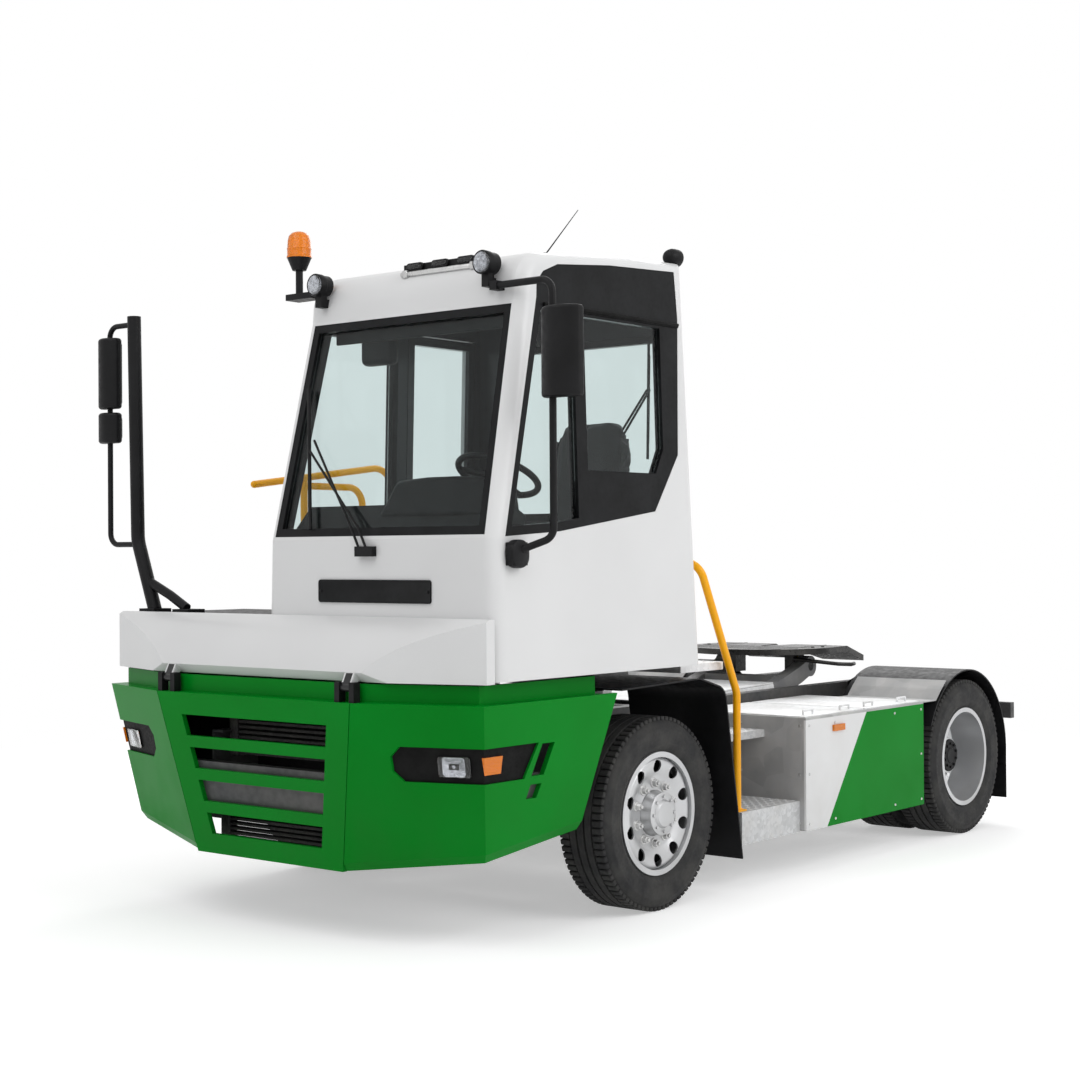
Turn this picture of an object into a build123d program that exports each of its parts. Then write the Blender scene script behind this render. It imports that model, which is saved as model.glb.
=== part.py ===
from build123d import *
import os
from math import cos, radians, sin, tan

# Battery-electric 4x2 terminal tractor with a narrow cab on its left side.
# Millimetres, +X forward, +Y left, +Z up, the origin on the ground under the middle.
os.makedirs("parts", exist_ok=True)

# Overall layout
wheelbase = 3130
front_overhang = 1590
rear_overhang = 770
half_width = 1250
seat_gap = 0.3
running_gap = 6
front_end = (wheelbase + front_overhang + rear_overhang) / 2
rear_end = -front_end
front_axle_x = front_end - front_overhang
rear_axle_x = front_axle_x - wheelbase

# Wheels
tyre_radius = 470
tyre_width = 290
tyre_shoulder = 35
bead_radius = 286
rim_half_width = 126
flange_radius = 298
flange_lip = 13
front_tyre_y = half_width - 213
twin_outer_y = half_width - 150
twin_spacing = 345
hand_holes = 10
front_hole_circle = 225
front_hole_radius = 34
rear_hole_circle = 230
rear_hole_radius = 24
rim_barrel_wall = 14
hub_reach = 20
spindle_reach = 120

# Chassis frame
rail_y = 430
rail_bottom = 620
rail_depth = 280
rail_flange = 75
rail_wall = 12
rail_top = rail_bottom + rail_depth
cross_bottom = 640
cross_height = 120
cross_length = 100

# Front and rear axles
kingpin_y = front_tyre_y - 87
kingpin_radius = 23
eye_radius = 52
eye_height = 110
beam_length = 90
beam_drop = 120
beam_depth = 100
spindle_radius = 35
fork_thickness = 34
spring_span = 1120
spring_rise = 150
spring_thickness = 36
hanger_half = 40
beam_low_margin = 60
beam_high_margin = 150
drive_spindle_radius = 45
axle_tube_radius = 90
differential_radius = 220
differential_flat = 150
differential_half = 260
differential_neck = 100
axle_bracket_half = 110

# Lift arm and fifth wheel, set out from the rear axle
coupling_x = rear_axle_x + 330
coupling_z = 1010
coupling_top = 1130
cylinder_foot_x = coupling_x + 1085
cylinder_foot_z = 620
cylinder_eye_x = coupling_x + 515
cylinder_eye_z = 873
lift_x = cylinder_foot_x + 665
lift_z = 840
lift_shaft_radius = 40
arm_y = 300
arm_width = 80
arm_depth = 100
arm_hub = 65
arm_bend = 250
arm_tube_radius = 40
plate_width = 950
plate_front = 495
plate_rear = 500
plate_taper = 40
plate_thickness = 36
kingpin_hole = 27
throat_half = 130
throat_run = 60
ramp_start = 255
ramp_drop = 70
trunnion_radius = 30
trunnion_ear = 70
trunnion_root = 10
ear_half_length = 60
ear_depth = 50
barrel_radius = 55
barrel_start = 30
barrel_length = 370
barrel_end = 50
rod_radius = 32
rod_start = 120
cylinder_pin = 22
cylinder_eye = 48
cylinder_half_eye = 25
cylinder_drift = 9
cylinder_y = 170
lug_thickness = 20
lug_reach = 30

# Drive motor, ahead of the lift cylinders
motor_rear = cylinder_foot_x + 460
motor_length = 600
motor_half_width = 280
motor_bottom = 400
motor_top = 760
shaft_radius = 45
shaft_z = 520

# Battery boxes and their side panels
battery_front = front_axle_x - 1235
battery_rear = rear_axle_x + 561
battery_side = half_width - 10
battery_bottom = 240
battery_top = 843
lid_thickness = 12
panel_thickness = 12
split_top = battery_front - 656
split_bottom = battery_front - 219
marker_x = battery_front - 340
marker_z = 770
marker_length = 119
marker_height = 35
marker_depth = 12

# Bumper: a hopper-like shell that leans inward at the bottom
bumper_low = 300
bumper_top = 1085
bumper_wall = 25
bumper_sweep = 18.3
nose_low = front_end - 117
fold_top = 0.52 * half_width
fold_low = fold_top - 164
side_low = half_width - 110
wing_rear_top = front_end - 1140
wing_rear_low = front_end - 910
centre_bottom = 320
wing_bottom_rise = 0.114
wing_bottom_spread = 0.079
seam = 4
slot_height = 100
slot_first = 465
slot_pitch = 155
slot_count = 4
slot_margin = 140
lip_height = 40
lip_inset = 18
beam_bottom = 560
beam_height = 200
bumper_beam_depth = 60

# Lamps let into the bumper wings
recess_bottom = 745
recess_top = 900
recess_inner_y = half_width - 453
recess_corner = 45
recess_rear_low = front_end - 520
recess_rear_high = front_end - 596
recess_depth = 12
lens_depth = 3
lamp_inner_y = half_width - 245
lamp_outer_y = half_width - 101
lamp_bottom = 770
lamp_top = 862
indicator_inner_y = half_width - 45
indicator_length = 115
bumper_corner_x = front_end - 245

# Band above the bumper, and the cab tilt hinge in it
band_inset = 70
band_wall = 25
band_hollow = 300
band_top = 1165
band_rear = front_end - 1060
ledge_thickness = 12
hinge_x = front_end - 41
hinge_z = 1150
hinge_y = fold_top - 50
hinge_pin_radius = 14
ear_radius = 20
hinge_plate = 30
hinge_plate_rear = 14
hinge_plate_front = 26
hinge_plate_above = 24

# Cab shell
cab_bottom = 1180
cab_front = front_end - 290
cab_rear = cab_front - 1560
cab_rear_lean = 60
roof_rear_z = 3158
roof_front_z = roof_rear_z - 72
brow_z = roof_front_z - 151
screen_bottom = 1800
screen_top = brow_z - 85
screen_rake = 240 / 1050
screen_top_x = cab_front - screen_rake * (screen_top - screen_bottom)
brow_radius = 180
cab_left = half_width
cab_right = -0.168 * half_width
cab_side_lean = 60
cab_wall = 50
cab_corner = 70
sill_height = 60
roof_split = screen_top + 20
glass_inset = 18
glass_thickness = 6
frame_border = 38

# Door on the right side of the cab
door_rear = cab_rear + 140
door_front = door_rear + 510
door_bottom = 1250
door_top = screen_top
door_gap = 6
door_border = 45
door_post = 75
pane_bottom = 1850
door_hinges = (door_bottom + 250, door_top - 250)
hinge_proud = 14
knuckle_radius = 12
knuckle_length = 40
door_pin_radius = 6
leaf_root = 5

# Cowl and the low hood beside the cab
cowl_bottom = 1172
cowl_top = 1450
cowl_nose = front_end - 50
cowl_fold = fold_top + 20
cowl_side = half_width - 16
cowl_slope_base = 1215
cowl_slope_top_x = cab_front + 30
cowl_bulge = 22
cowl_chamfer = 40
cowl_wall = 30
hood_rear = cab_front - 765
hood_top = 1440
hood_side = half_width - 35
hood_gap = 15

# Platform, steps and fenders
platform_top = 1170
platform_front = hood_rear - 15
platform_thickness = 40
platform_rear = cab_rear - 395
platform_side = half_width - 50
platform_left = platform_side - 100
beam_size = 80
mount_pad = 50
step_front = front_axle_x - 670
step_thickness = 40
step_tread_z = 400
step_inner_y = half_width - 550
step_face = 165
step_skirt = 20
upper_step_front = step_front - 100
upper_step_z = 770
upper_step_outer_y = half_width - 270
fender_wall = 8
fender_inner_y = half_width - 610
fender_bend = 90
bracket_bottom = 1040
bracket_top = 1070
bracket_half = 30
bracket_foot = 120
guard_radius = tyre_radius + 60
guard_wall = 8
guard_inner_y = half_width - 650
guard_start = 25
guard_sweep = 165
flap_bottom = 164
flap_inset = 30
rail_tube = 20
deck_wall = 6

# Rear bar and lamps
tail_bar_depth = 60
tail_bar_bottom = 650
tail_bar_height = 100
tail_bar_half = half_width - 50
tail_lamp_length = 220
tail_lamp_height = 80
tail_lamp_depth = 10
tail_lamp_margin = 20


def block(x, y, z, mode=Mode.ADD):
    """A box between two values on each axis, in the part being built."""
    middle = ((x[0] + x[1]) / 2, (y[0] + y[1]) / 2, (z[0] + z[1]) / 2)
    with Locations(middle):
        Box(x[1] - x[0], y[1] - y[0], z[1] - z[0], mode=mode)


def prism(plane, points, depth):
    """A polygon drawn on a plane and pulled along its normal."""
    with BuildPart() as solid:
        with BuildSketch(plane):
            Polygon(*points, align=None)
        extrude(amount=depth)
    return solid.part


def side_prism(points, y_low, y_high):
    """A polygon of (x, z) points, between two widths."""
    return prism(Plane.XZ.offset(-y_high), points, y_high - y_low)


def front_prism(points, x_low, x_high):
    """A polygon of (y, z) points, between two lengths."""
    return prism(Plane.YZ.offset(x_low), points, x_high - x_low)


def plan_prism(points, z_low, z_high):
    """A polygon of (x, y) points, between two heights."""
    return prism(Plane.XY.offset(z_low), points, z_high - z_low)


def tube(points, bend, radius):
    """A round bar along straight runs that are joined by arcs."""
    with BuildPart() as bar:
        with BuildLine() as path:
            FilletPolyline(*points, radius=bend)
        with BuildSketch(Plane(origin=path.line @ 0, z_dir=path.line % 0)):
            Circle(radius)
        sweep()
    return bar.part


def cross_rod(x, z, radius, y_low, y_high):
    """A round bar that lies across the vehicle."""
    with BuildPart() as bar:
        with BuildSketch(Plane.XZ.offset(-y_high)):
            with Locations((x, z)):
                Circle(radius)
        extrude(amount=y_high - y_low)
    return bar.part


def finish(builder, name):
    """Name a finished piece and write it."""
    builder.part.label = name
    export_step(builder.part, f"parts/{name}.step")


# Bumper outline at a height, a given depth below its outer skin
def bumper_plan(z, inset, rear_shift=0):
    rise = (z - bumper_low) / (bumper_top - bumper_low)
    nose = nose_low + rise * (front_end - nose_low) - inset
    fold = fold_low + rise * (fold_top - fold_low) - inset * tan(radians(bumper_sweep / 2))
    side = side_low + rise * (half_width - side_low) - inset
    rear = wing_rear_low + rise * (wing_rear_top - wing_rear_low) - rear_shift
    corner = nose - (side - fold) * tan(radians(bumper_sweep))
    left = [(rear, side), (corner, side), (nose, fold)]
    return left + [(x, -y) for x, y in reversed(left)]


def bumper_solid(inset, z_low, z_high, rear_shift=0):
    with BuildPart() as solid:
        for z in (z_low, z_high):
            with BuildSketch(Plane.XY.offset(z)):
                Polygon(*bumper_plan(z, inset, rear_shift), align=None)
        loft(ruled=True)
    return solid.part


def bumper_layer(outer, inner, z_low, z_high):
    """A shell that follows the bumper between two depths and two heights."""
    with BuildPart() as layer:
        add(bumper_solid(outer, z_low, z_high))
        add(bumper_solid(inner, z_low - 1, z_high + 1, rear_shift=300), mode=Mode.SUBTRACT)
    return layer.part


def fold_wedge(extra):
    """The middle of the bumper, between its two fold lines."""
    low = fold_low + extra
    high = fold_top + extra
    points = [(-low, bumper_low), (low, bumper_low), (high, bumper_top), (-high, bumper_top)]
    return front_prism(points, 0, front_end + 1)


def beam_back(z):
    return bumper_plan(z, bumper_wall + bumper_beam_depth)[2][0]


# Frame: two channel rails, cross members and the shaft of the lift arm
rail_front = beam_back(rail_bottom)
rail_rear = rear_end + tail_bar_depth
motor_front = motor_rear + motor_length
cylinder_cross_x = cylinder_foot_x + 130
cross_members = (
    front_end - 495,
    front_axle_x + 345,
    motor_front + cross_length / 2,
    motor_rear - cross_length / 2,
    cylinder_cross_x,
    rear_axle_x + 525,
    rear_end + 295,
)
rail_inner = rail_y - rail_wall

with BuildPart() as frame:
    block((rail_rear, rail_front), (rail_y - rail_flange, rail_y), (rail_bottom, rail_top))
    block(
        (rail_rear, rail_front),
        (rail_y - rail_flange, rail_inner),
        (rail_bottom + rail_wall, rail_top - rail_wall),
        mode=Mode.SUBTRACT,
    )
    mirror(about=Plane.XZ)
    for x in cross_members:
        block(
            (x - cross_length / 2, x + cross_length / 2),
            (-rail_inner, rail_inner),
            (cross_bottom, cross_bottom + cross_height),
        )
    add(cross_rod(lift_x, lift_z, lift_shaft_radius, -rail_inner, rail_inner))
    for y in (-cylinder_y, cylinder_y):
        reach = cylinder_half_eye + seat_gap
        for inner, outer in ((-reach - lug_thickness, -reach), (reach, reach + lug_thickness)):
            block(
                (cylinder_foot_x - lug_reach, cylinder_cross_x),
                (y + inner, y + outer),
                (cylinder_foot_z - lug_reach, cross_bottom + lug_reach),
            )
        pin_half = reach + lug_thickness
        add(cross_rod(cylinder_foot_x, cylinder_foot_z, cylinder_pin, y - pin_half, y + pin_half))
finish(frame, "frame")

# Front axle beam, dropped between the wheels, with an eye for each kingpin
beam_top = tyre_radius + eye_height / 2
low_half = rail_y + beam_low_margin
high_half = kingpin_y - beam_high_margin
with BuildPart() as front_axle:
    add(
        front_prism(
            [
                (-kingpin_y, beam_top),
                (-high_half, beam_top),
                (-low_half, beam_top - beam_drop),
                (low_half, beam_top - beam_drop),
                (high_half, beam_top),
                (kingpin_y, beam_top),
                (kingpin_y, beam_top - eye_height),
                (high_half, beam_top - eye_height),
                (low_half, beam_top - beam_drop - beam_depth),
                (-low_half, beam_top - beam_drop - beam_depth),
                (-high_half, beam_top - eye_height),
                (-kingpin_y, beam_top - eye_height),
            ],
            front_axle_x - beam_length / 2,
            front_axle_x + beam_length / 2,
        )
    )
    for y in (-kingpin_y, kingpin_y):
        with Locations((front_axle_x, y, tyre_radius)):
            Cylinder(eye_radius, eye_height)
            Cylinder(kingpin_radius + seat_gap, eye_height, mode=Mode.SUBTRACT)
finish(front_axle, "front_axle")

# Leaf springs between the beam and the rails, with their hangers
spring_seat = beam_top - beam_drop
with BuildPart() as front_springs:
    with BuildSketch(Plane.XZ.offset(-rail_y)):
        with BuildLine():
            rear_tip = (front_axle_x - spring_span / 2, spring_seat + spring_rise)
            front_tip = (front_axle_x + spring_span / 2, spring_seat + spring_rise)
            lower = ThreePointArc(rear_tip, (front_axle_x, spring_seat), front_tip)
            upper = ThreePointArc(
                (rear_tip[0], rear_tip[1] + spring_thickness),
                (front_axle_x, spring_seat + spring_thickness),
                (front_tip[0], front_tip[1] + spring_thickness),
            )
            Line(lower @ 0, upper @ 0)
            Line(lower @ 1, upper @ 1)
        make_face()
    extrude(amount=rail_flange)
    for x in (-spring_span / 2, spring_span / 2):
        block(
            (front_axle_x + x - hanger_half, front_axle_x + x + hanger_half),
            (rail_y - rail_flange, rail_y),
            (spring_seat + spring_rise - hanger_half / 2, rail_bottom),
        )
    mirror(about=Plane.XZ)
finish(front_springs, "front_springs")

# Rear axle, carried rigidly under the rails
twin_middle = twin_outer_y - twin_spacing / 2
axle_tube_half = twin_outer_y - twin_spacing - 30
with BuildPart() as rear_axle:
    add(cross_rod(rear_axle_x, tyre_radius, axle_tube_radius, -axle_tube_half, axle_tube_half))
    add(cross_rod(rear_axle_x, tyre_radius, drive_spindle_radius, -twin_middle, twin_middle))
    with BuildSketch(Plane(origin=(rear_axle_x, 0, tyre_radius), x_dir=(0, 1, 0), z_dir=(1, 0, 0))):
        with BuildLine():
            Polyline(
                (-differential_half, 0),
                (-differential_half, differential_neck),
                (-differential_flat, differential_radius),
                (differential_flat, differential_radius),
                (differential_half, differential_neck),
                (differential_half, 0),
                close=True,
            )
        make_face()
    revolve(axis=Axis((rear_axle_x, 0, tyre_radius), (0, 1, 0)))
    for y in (-rail_y, rail_y - rail_flange):
        block(
            (rear_axle_x - axle_bracket_half, rear_axle_x + axle_bracket_half),
            (y, y + rail_flange),
            (tyre_radius, rail_bottom),
        )
finish(rear_axle, "rear_axle")

# Drive motor between two cross members, with the shaft to the rear axle
with BuildPart() as drive_motor:
    block((motor_rear, motor_front), (-motor_half_width, motor_half_width), (motor_bottom, motor_top))
    shaft_length = motor_rear - rear_axle_x - differential_radius
    with Locations((motor_rear - shaft_length / 2, 0, shaft_z)):
        Cylinder(shaft_radius, shaft_length, rotation=(0, 90, 0))
finish(drive_motor, "drive_motor")

# Battery boxes on the outside of the rails, each with a sheet from its lid to the mudguard
battery_face = battery_side - panel_thickness
panel_top = battery_top - lid_thickness
battery_span = (battery_rear, battery_front)
deck_inner_y = guard_inner_y + 40
deck_line = [
    (battery_rear - seat_gap, battery_top),
    (rear_axle_x + 400, battery_top),
    (rear_axle_x + 335, battery_top + 59),
    (rear_axle_x + 270, battery_top + 109),
]
deck_under = [(x, z - deck_wall) for x, z in reversed(deck_line)]
with BuildPart() as battery_boxes:
    add(side_prism(deck_line + deck_under, deck_inner_y, battery_side))
    block(battery_span, (rail_y, battery_face), (battery_bottom, panel_top))
    block(battery_span, (rail_y, battery_side), (panel_top, battery_top))
    mirror(about=Plane.XZ)
finish(battery_boxes, "battery_boxes")

white_panel = [
    (battery_front, battery_bottom),
    (battery_front, panel_top),
    (split_top, panel_top),
    (split_bottom, battery_bottom),
]
green_panel = [
    (battery_rear, battery_bottom),
    (battery_rear, panel_top),
    (split_top, panel_top),
    (split_bottom, battery_bottom),
]
for name, outline in (("battery_panels_white", white_panel), ("battery_panels_green", green_panel)):
    with BuildPart() as battery_panels:
        add(side_prism(outline, battery_face, battery_side))
        mirror(about=Plane.XZ)
    finish(battery_panels, name)

# Bumper: grille panel in the middle, a wing on each side, a beam behind them
with BuildPart() as bumper_center:
    add(bumper_layer(0, bumper_wall, centre_bottom, bumper_top))
    add(fold_wedge(-seam / 2), mode=Mode.INTERSECT)
    for row in range(slot_count):
        middle = slot_first + row * slot_pitch
        slot = []
        for z in (middle - slot_height / 2, middle + slot_height / 2):
            rise = (z - bumper_low) / (bumper_top - bumper_low)
            slot.append((fold_low + rise * (fold_top - fold_low) - slot_margin, z))
        low, high = slot
        mirrored = [(-high[0], high[1]), (-low[0], low[1])]
        add(front_prism([low, high] + mirrored, 0, front_end + 1), mode=Mode.SUBTRACT)
finish(bumper_center, "bumper_center")

# Lamp recess in a wing: rounded towards the middle, slanted at its rear end
recess_front = [
    (recess_inner_y + recess_corner, recess_bottom),
    (half_width + 1, recess_bottom),
    (half_width + 1, recess_top),
    (recess_inner_y + recess_corner, recess_top),
    (recess_inner_y, recess_top - recess_corner),
    (recess_inner_y, recess_bottom + recess_corner),
]
recess_side = [
    (front_end, recess_bottom),
    (recess_rear_low, recess_bottom),
    (recess_rear_high, recess_top),
    (front_end, recess_top),
]
with BuildPart() as lamp_recess:
    add(front_prism(recess_front, 0, front_end))
    add(side_prism(recess_side, 0, half_width + 1), mode=Mode.INTERSECT)

# Two slanted slots behind the recess, as (x, z) outlines
wing_slots = (
    [
        (front_end - 567, 752),
        (front_end - 654, 752),
        (front_end - 709, 893),
        (front_end - 622, 893),
    ],
    [
        (front_end - 545, 652),
        (front_end - 618, 652),
        (front_end - 645, 715),
        (front_end - 568, 715),
    ],
)
slot_inner_y = half_width - 250


wing_bottom = Plane(
    origin=(nose_low, fold_low, centre_bottom),
    z_dir=(wing_bottom_rise, -wing_bottom_spread, 1),
)


def skin_depth(point):
    """How far a point on the left lies behind the bumper's outer skin."""
    corner, nose = bumper_plan(point.Z, 0)[1:3]
    turn = radians(bumper_sweep)
    front = (nose[0] - point.X) * cos(turn) - (point.Y - nose[1]) * sin(turn)
    return min(front, corner[1] - point.Y)


with BuildPart() as bumper_wings:
    add(bumper_layer(0, bumper_wall, bumper_low, bumper_top))
    add(fold_wedge(seam / 2), mode=Mode.SUBTRACT)
    block((0, front_end + 1), (-half_width - 1, 0), (0, bumper_top + 1), mode=Mode.SUBTRACT)
    split(bisect_by=wing_bottom, keep=Keep.TOP)
    foot = bumper_wings.faces().sort_by(lambda face: face.center().Z)[0]
    lower_rim = foot.edges().filter_by(lambda edge: skin_depth(edge.center()) < 1)
    chamfer(lower_rim, length=lip_inset, length2=lip_height, reference=foot)
    add(lamp_recess.part, mode=Mode.SUBTRACT)
    for outline in wing_slots:
        add(side_prism(outline, slot_inner_y, half_width + 1), mode=Mode.SUBTRACT)
    mirror(about=Plane.XZ)
finish(bumper_wings, "bumper_wings")

with BuildPart() as bumper_beam:
    beam_inner = bumper_wall + bumper_beam_depth
    beam_rear = front_end - 660
    add(bumper_layer(bumper_wall, beam_inner, beam_bottom, beam_bottom + beam_height))
    block(
        (0, beam_rear),
        (-half_width, half_width),
        (beam_bottom - 1, beam_bottom + beam_height + 1),
        mode=Mode.SUBTRACT,
    )
finish(bumper_beam, "bumper_beam")

# Lamps in the wing recesses: a black housing behind, the lenses standing on it
with BuildPart() as lamp_housings:
    add(bumper_layer(recess_depth, bumper_wall, recess_bottom, recess_top))
    add(lamp_recess.part, mode=Mode.INTERSECT)
    mirror(about=Plane.XZ)
finish(lamp_housings, "lamp_housings")

# Lenses: (name, inner y, outer y)
lens_rows = (
    ("headlamps", lamp_inner_y, lamp_outer_y),
    ("indicators", indicator_inner_y, half_width),
)
lens_x = (bumper_corner_x - indicator_length, front_end)
for name, y_low, y_high in lens_rows:
    with BuildPart() as lamp:
        add(bumper_layer(lens_depth, recess_depth, lamp_bottom, lamp_top))
        block(lens_x, (y_low, y_high), (lamp_bottom, lamp_top), mode=Mode.INTERSECT)
        if name == "indicators":
            block(
                (marker_x - marker_length / 2, marker_x + marker_length / 2),
                (battery_side, battery_side + marker_depth),
                (marker_z - marker_height / 2, marker_z + marker_height / 2),
            )
        mirror(about=Plane.XZ)
    finish(lamp, name)

# Band above the bumper, with the ledge that it stands on
with BuildPart() as front_band:
    add(bumper_solid(bumper_wall, bumper_top - ledge_thickness, bumper_top))
    add(plan_prism(bumper_plan(bumper_top, band_inset), bumper_top, band_top))
    hollow = bumper_plan(bumper_top, band_inset + band_wall, band_hollow)
    add(plan_prism(hollow, bumper_top - band_hollow, band_top + 1), mode=Mode.SUBTRACT)
    block((0, band_rear), (-half_width, half_width), (0, band_top + 1), mode=Mode.SUBTRACT)
finish(front_band, "front_band")

# Tilt hinge: two plates on the ledge, a pin in each, and an ear of the cab between them
with BuildPart() as cab_hinge:
    for y in (hinge_y - 1.5 * hinge_plate, hinge_y + 1.5 * hinge_plate):
        block(
            (hinge_x - hinge_plate_rear, hinge_x + hinge_plate_front),
            (y - hinge_plate / 2, y + hinge_plate / 2),
            (bumper_top, hinge_z + hinge_plate_above),
        )
    pin_span = (hinge_y - 2 * hinge_plate, hinge_y + 2 * hinge_plate)
    add(cross_rod(hinge_x, hinge_z, hinge_pin_radius, *pin_span))
    mirror(about=Plane.XZ)
finish(cab_hinge, "cab_hinge")


# Cab shell, given as a solid at a depth below its skin
def side_y(z, inset):
    lean = cab_side_lean * (z - cab_bottom) / (roof_rear_z - cab_bottom)
    return cab_right + lean + inset, cab_left - lean - inset


def rear_x(z):
    return cab_rear + cab_rear_lean * (z - cab_bottom) / (roof_rear_z - cab_bottom)


# Side profile of the cab, with a rounded brow between the windscreen and the roof
brow = (screen_top_x - 10, roof_front_z - 20)
roof_middle = (screen_top_x - 840, roof_rear_z - 16)
wall_profile = [
    roof_middle,
    (rear_x(roof_rear_z), roof_rear_z),
    (cab_rear, cab_bottom),
    (cab_front, cab_bottom),
    (cab_front, screen_bottom),
    (screen_top_x, screen_top),
]
brow_chord = [(screen_top_x - 8, brow_z), (screen_top_x - 190, roof_front_z - 6)]


def cab_solid(inset):
    low = side_y(cab_bottom, inset)
    high = side_y(roof_rear_z, inset)
    across = [
        (low[0], cab_bottom),
        (low[1], cab_bottom),
        (high[1], roof_rear_z),
        (high[0], roof_rear_z),
    ]
    with BuildPart() as solid:
        with BuildSketch(Plane.XZ.offset(-cab_left)) as outline:
            if inset:
                Polygon(*wall_profile, *brow_chord, align=None)
                offset(amount=-inset, kind=Kind.INTERSECTION, mode=Mode.REPLACE)
            else:
                Polygon(*wall_profile, brow, align=None)
                fillet(outline.vertices().sort_by_distance(brow)[0], brow_radius)
        extrude(amount=cab_left - cab_right)
        add(front_prism(across, 0, front_end), mode=Mode.INTERSECT)
        if not inset:
            middle = (cab_left + cab_right) / 2
            third = (cab_left - cab_right) / 3
            corners = solid.edges().filter_by(
                lambda edge: abs(edge.center().Y - middle) > third and edge.center().Z > cab_bottom + 1
            )
            fillet(corners, cab_corner)
    return solid.part


def side_slab(left, depth_from, depth_to):
    """A leaning plate along one side of the cab, between two depths."""
    index = 1 if left else 0
    points = []
    for z, depth in (
        (cab_bottom, depth_from),
        (roof_rear_z, depth_from),
        (roof_rear_z, depth_to),
        (cab_bottom, depth_to),
    ):
        points.append((side_y(z, depth)[index], z))
    return front_prism(points, 0, front_end)


def screen_plate(depth_from, depth_to):
    """A plate along the windscreen, between two depths."""
    slope = (cab_front - screen_top_x) / (screen_top - screen_bottom)
    stretch = (1 + slope * slope) ** 0.5
    points = []
    for x, z, depth in (
        (cab_front, screen_bottom, depth_from),
        (screen_top_x, screen_top, depth_from),
        (screen_top_x, screen_top, depth_to),
        (cab_front, screen_bottom, depth_to),
    ):
        points.append((x - depth * stretch, z))
    return side_prism(points, cab_right, cab_left)


def rear_plate(depth_from, depth_to):
    """A plate along the rear wall, between two depths."""
    points = []
    for z, depth in (
        (cab_bottom, depth_from),
        (roof_rear_z, depth_from),
        (roof_rear_z, depth_to),
        (cab_bottom, depth_to),
    ):
        points.append((rear_x(z) + depth, z))
    return side_prism(points, cab_right, cab_left)


def inset_outline(plane, points, amount, depth):
    """A polygon shrunk by an amount, pulled along the normal of its plane."""
    with BuildPart() as solid:
        with BuildSketch(plane):
            Polygon(*points, align=None)
            if amount:
                offset(amount=-amount, kind=Kind.INTERSECTION, mode=Mode.REPLACE)
        extrude(amount=depth)
    return solid.part


# Windows, as outlines of (x, z) on the sides and (y, z) on the ends
left_outline = [
    (cab_front - 77, 1806),
    (cab_front - 455, 1829),
    (cab_rear + 368, 1928),
    (cab_rear + 165, 2205),
    (cab_rear + 134, screen_top + 19),
    (cab_rear + 152, roof_rear_z - 58),
    (screen_top_x - 647, roof_front_z - 14),
    (screen_top_x - 257, roof_front_z - 54),
    (screen_top_x - 150, brow_z + 54),
    (screen_top_x - 102, brow_z),
    (screen_top_x - 97, screen_top + 17),
]
left_front_pane = [
    (cab_front - 125, 1850),
    (cab_front - 455, 1870),
    (cab_front - 600, 1890),
    (cab_front - 600, screen_top - 38),
    (screen_top_x - 127, screen_top - 38),
]
left_rear_pane = [
    (cab_front - 677, 2110),
    (cab_rear + 351, 2110),
    (cab_rear + 285, 2229),
    (cab_rear + 285, screen_top - 38),
    (cab_front - 677, screen_top - 38),
]
right_outline = [
    (cab_front - 77, 1806),
    (door_front + door_post, 1836),
    (door_front + door_post, screen_top - 10),
    (screen_top_x - 93, screen_top - 10),
]
screen_post = 5
screen_edge = 15
screen_low = side_y(screen_bottom + screen_edge, cab_wall + screen_post)
screen_high = side_y(screen_top - screen_edge, cab_wall + 2 * screen_post)
screen_outline = [
    (screen_low[0], screen_bottom + screen_edge),
    (screen_low[1], screen_bottom + screen_edge),
    (screen_high[1], screen_top - screen_edge),
    (screen_high[0], screen_top - screen_edge),
]
rear_outline = [
    (cab_right + 230, 1900),
    (cab_left - 140, 1900),
    (cab_left - 165, screen_top - 40),
    (cab_right + 250, screen_top - 40),
]
door_outline = [
    (door_rear, door_bottom),
    (door_front, door_bottom),
    (door_front, door_top),
    (door_rear, door_top),
]
door_pane = [
    (door_rear + door_border, pane_bottom),
    (door_front - door_border, pane_bottom),
    (door_front - door_border, door_top - door_border),
    (door_rear + door_border, door_top - door_border),
]
left_plane = Plane.XZ.offset(-cab_left - 1)
right_plane = Plane.XZ.offset(-cab_right - cab_side_lean - cab_wall)
screen_margin = 200
screen_plane = Plane.YZ.offset(screen_top_x - screen_margin)
rear_plane = Plane.YZ.offset(cab_rear - 1)
side_reach = cab_wall + cab_side_lean + 2
right_reach = side_reach + cab_wall
screen_reach = cab_front - screen_top_x + 2 * screen_margin
rear_reach = cab_wall + cab_rear_lean + 2

cab_outer = cab_solid(0)
cab_inner = cab_solid(cab_wall)

# Hinge line of the door
door_axis_x = door_front + door_gap / 2


def door_knuckle(z, up, toward):
    """A knuckle on the door's hinge line, with the leaf that ties it to its panel."""
    lean = cab_side_lean / (roof_rear_z - cab_bottom)
    origin = (door_axis_x, side_y(z, -hinge_proud)[0], z)
    leaf = hinge_proud + leaf_root
    with BuildPart() as piece:
        with Locations(Plane(origin=origin, x_dir=(1, 0, 0), z_dir=(0, lean, 1))):
            with Locations((0, 0, up)):
                Cylinder(knuckle_radius, knuckle_length)
                with Locations((toward * knuckle_radius, leaf / 2, 0)):
                    Box(2 * knuckle_radius, leaf, knuckle_length)
    return piece.part


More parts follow.
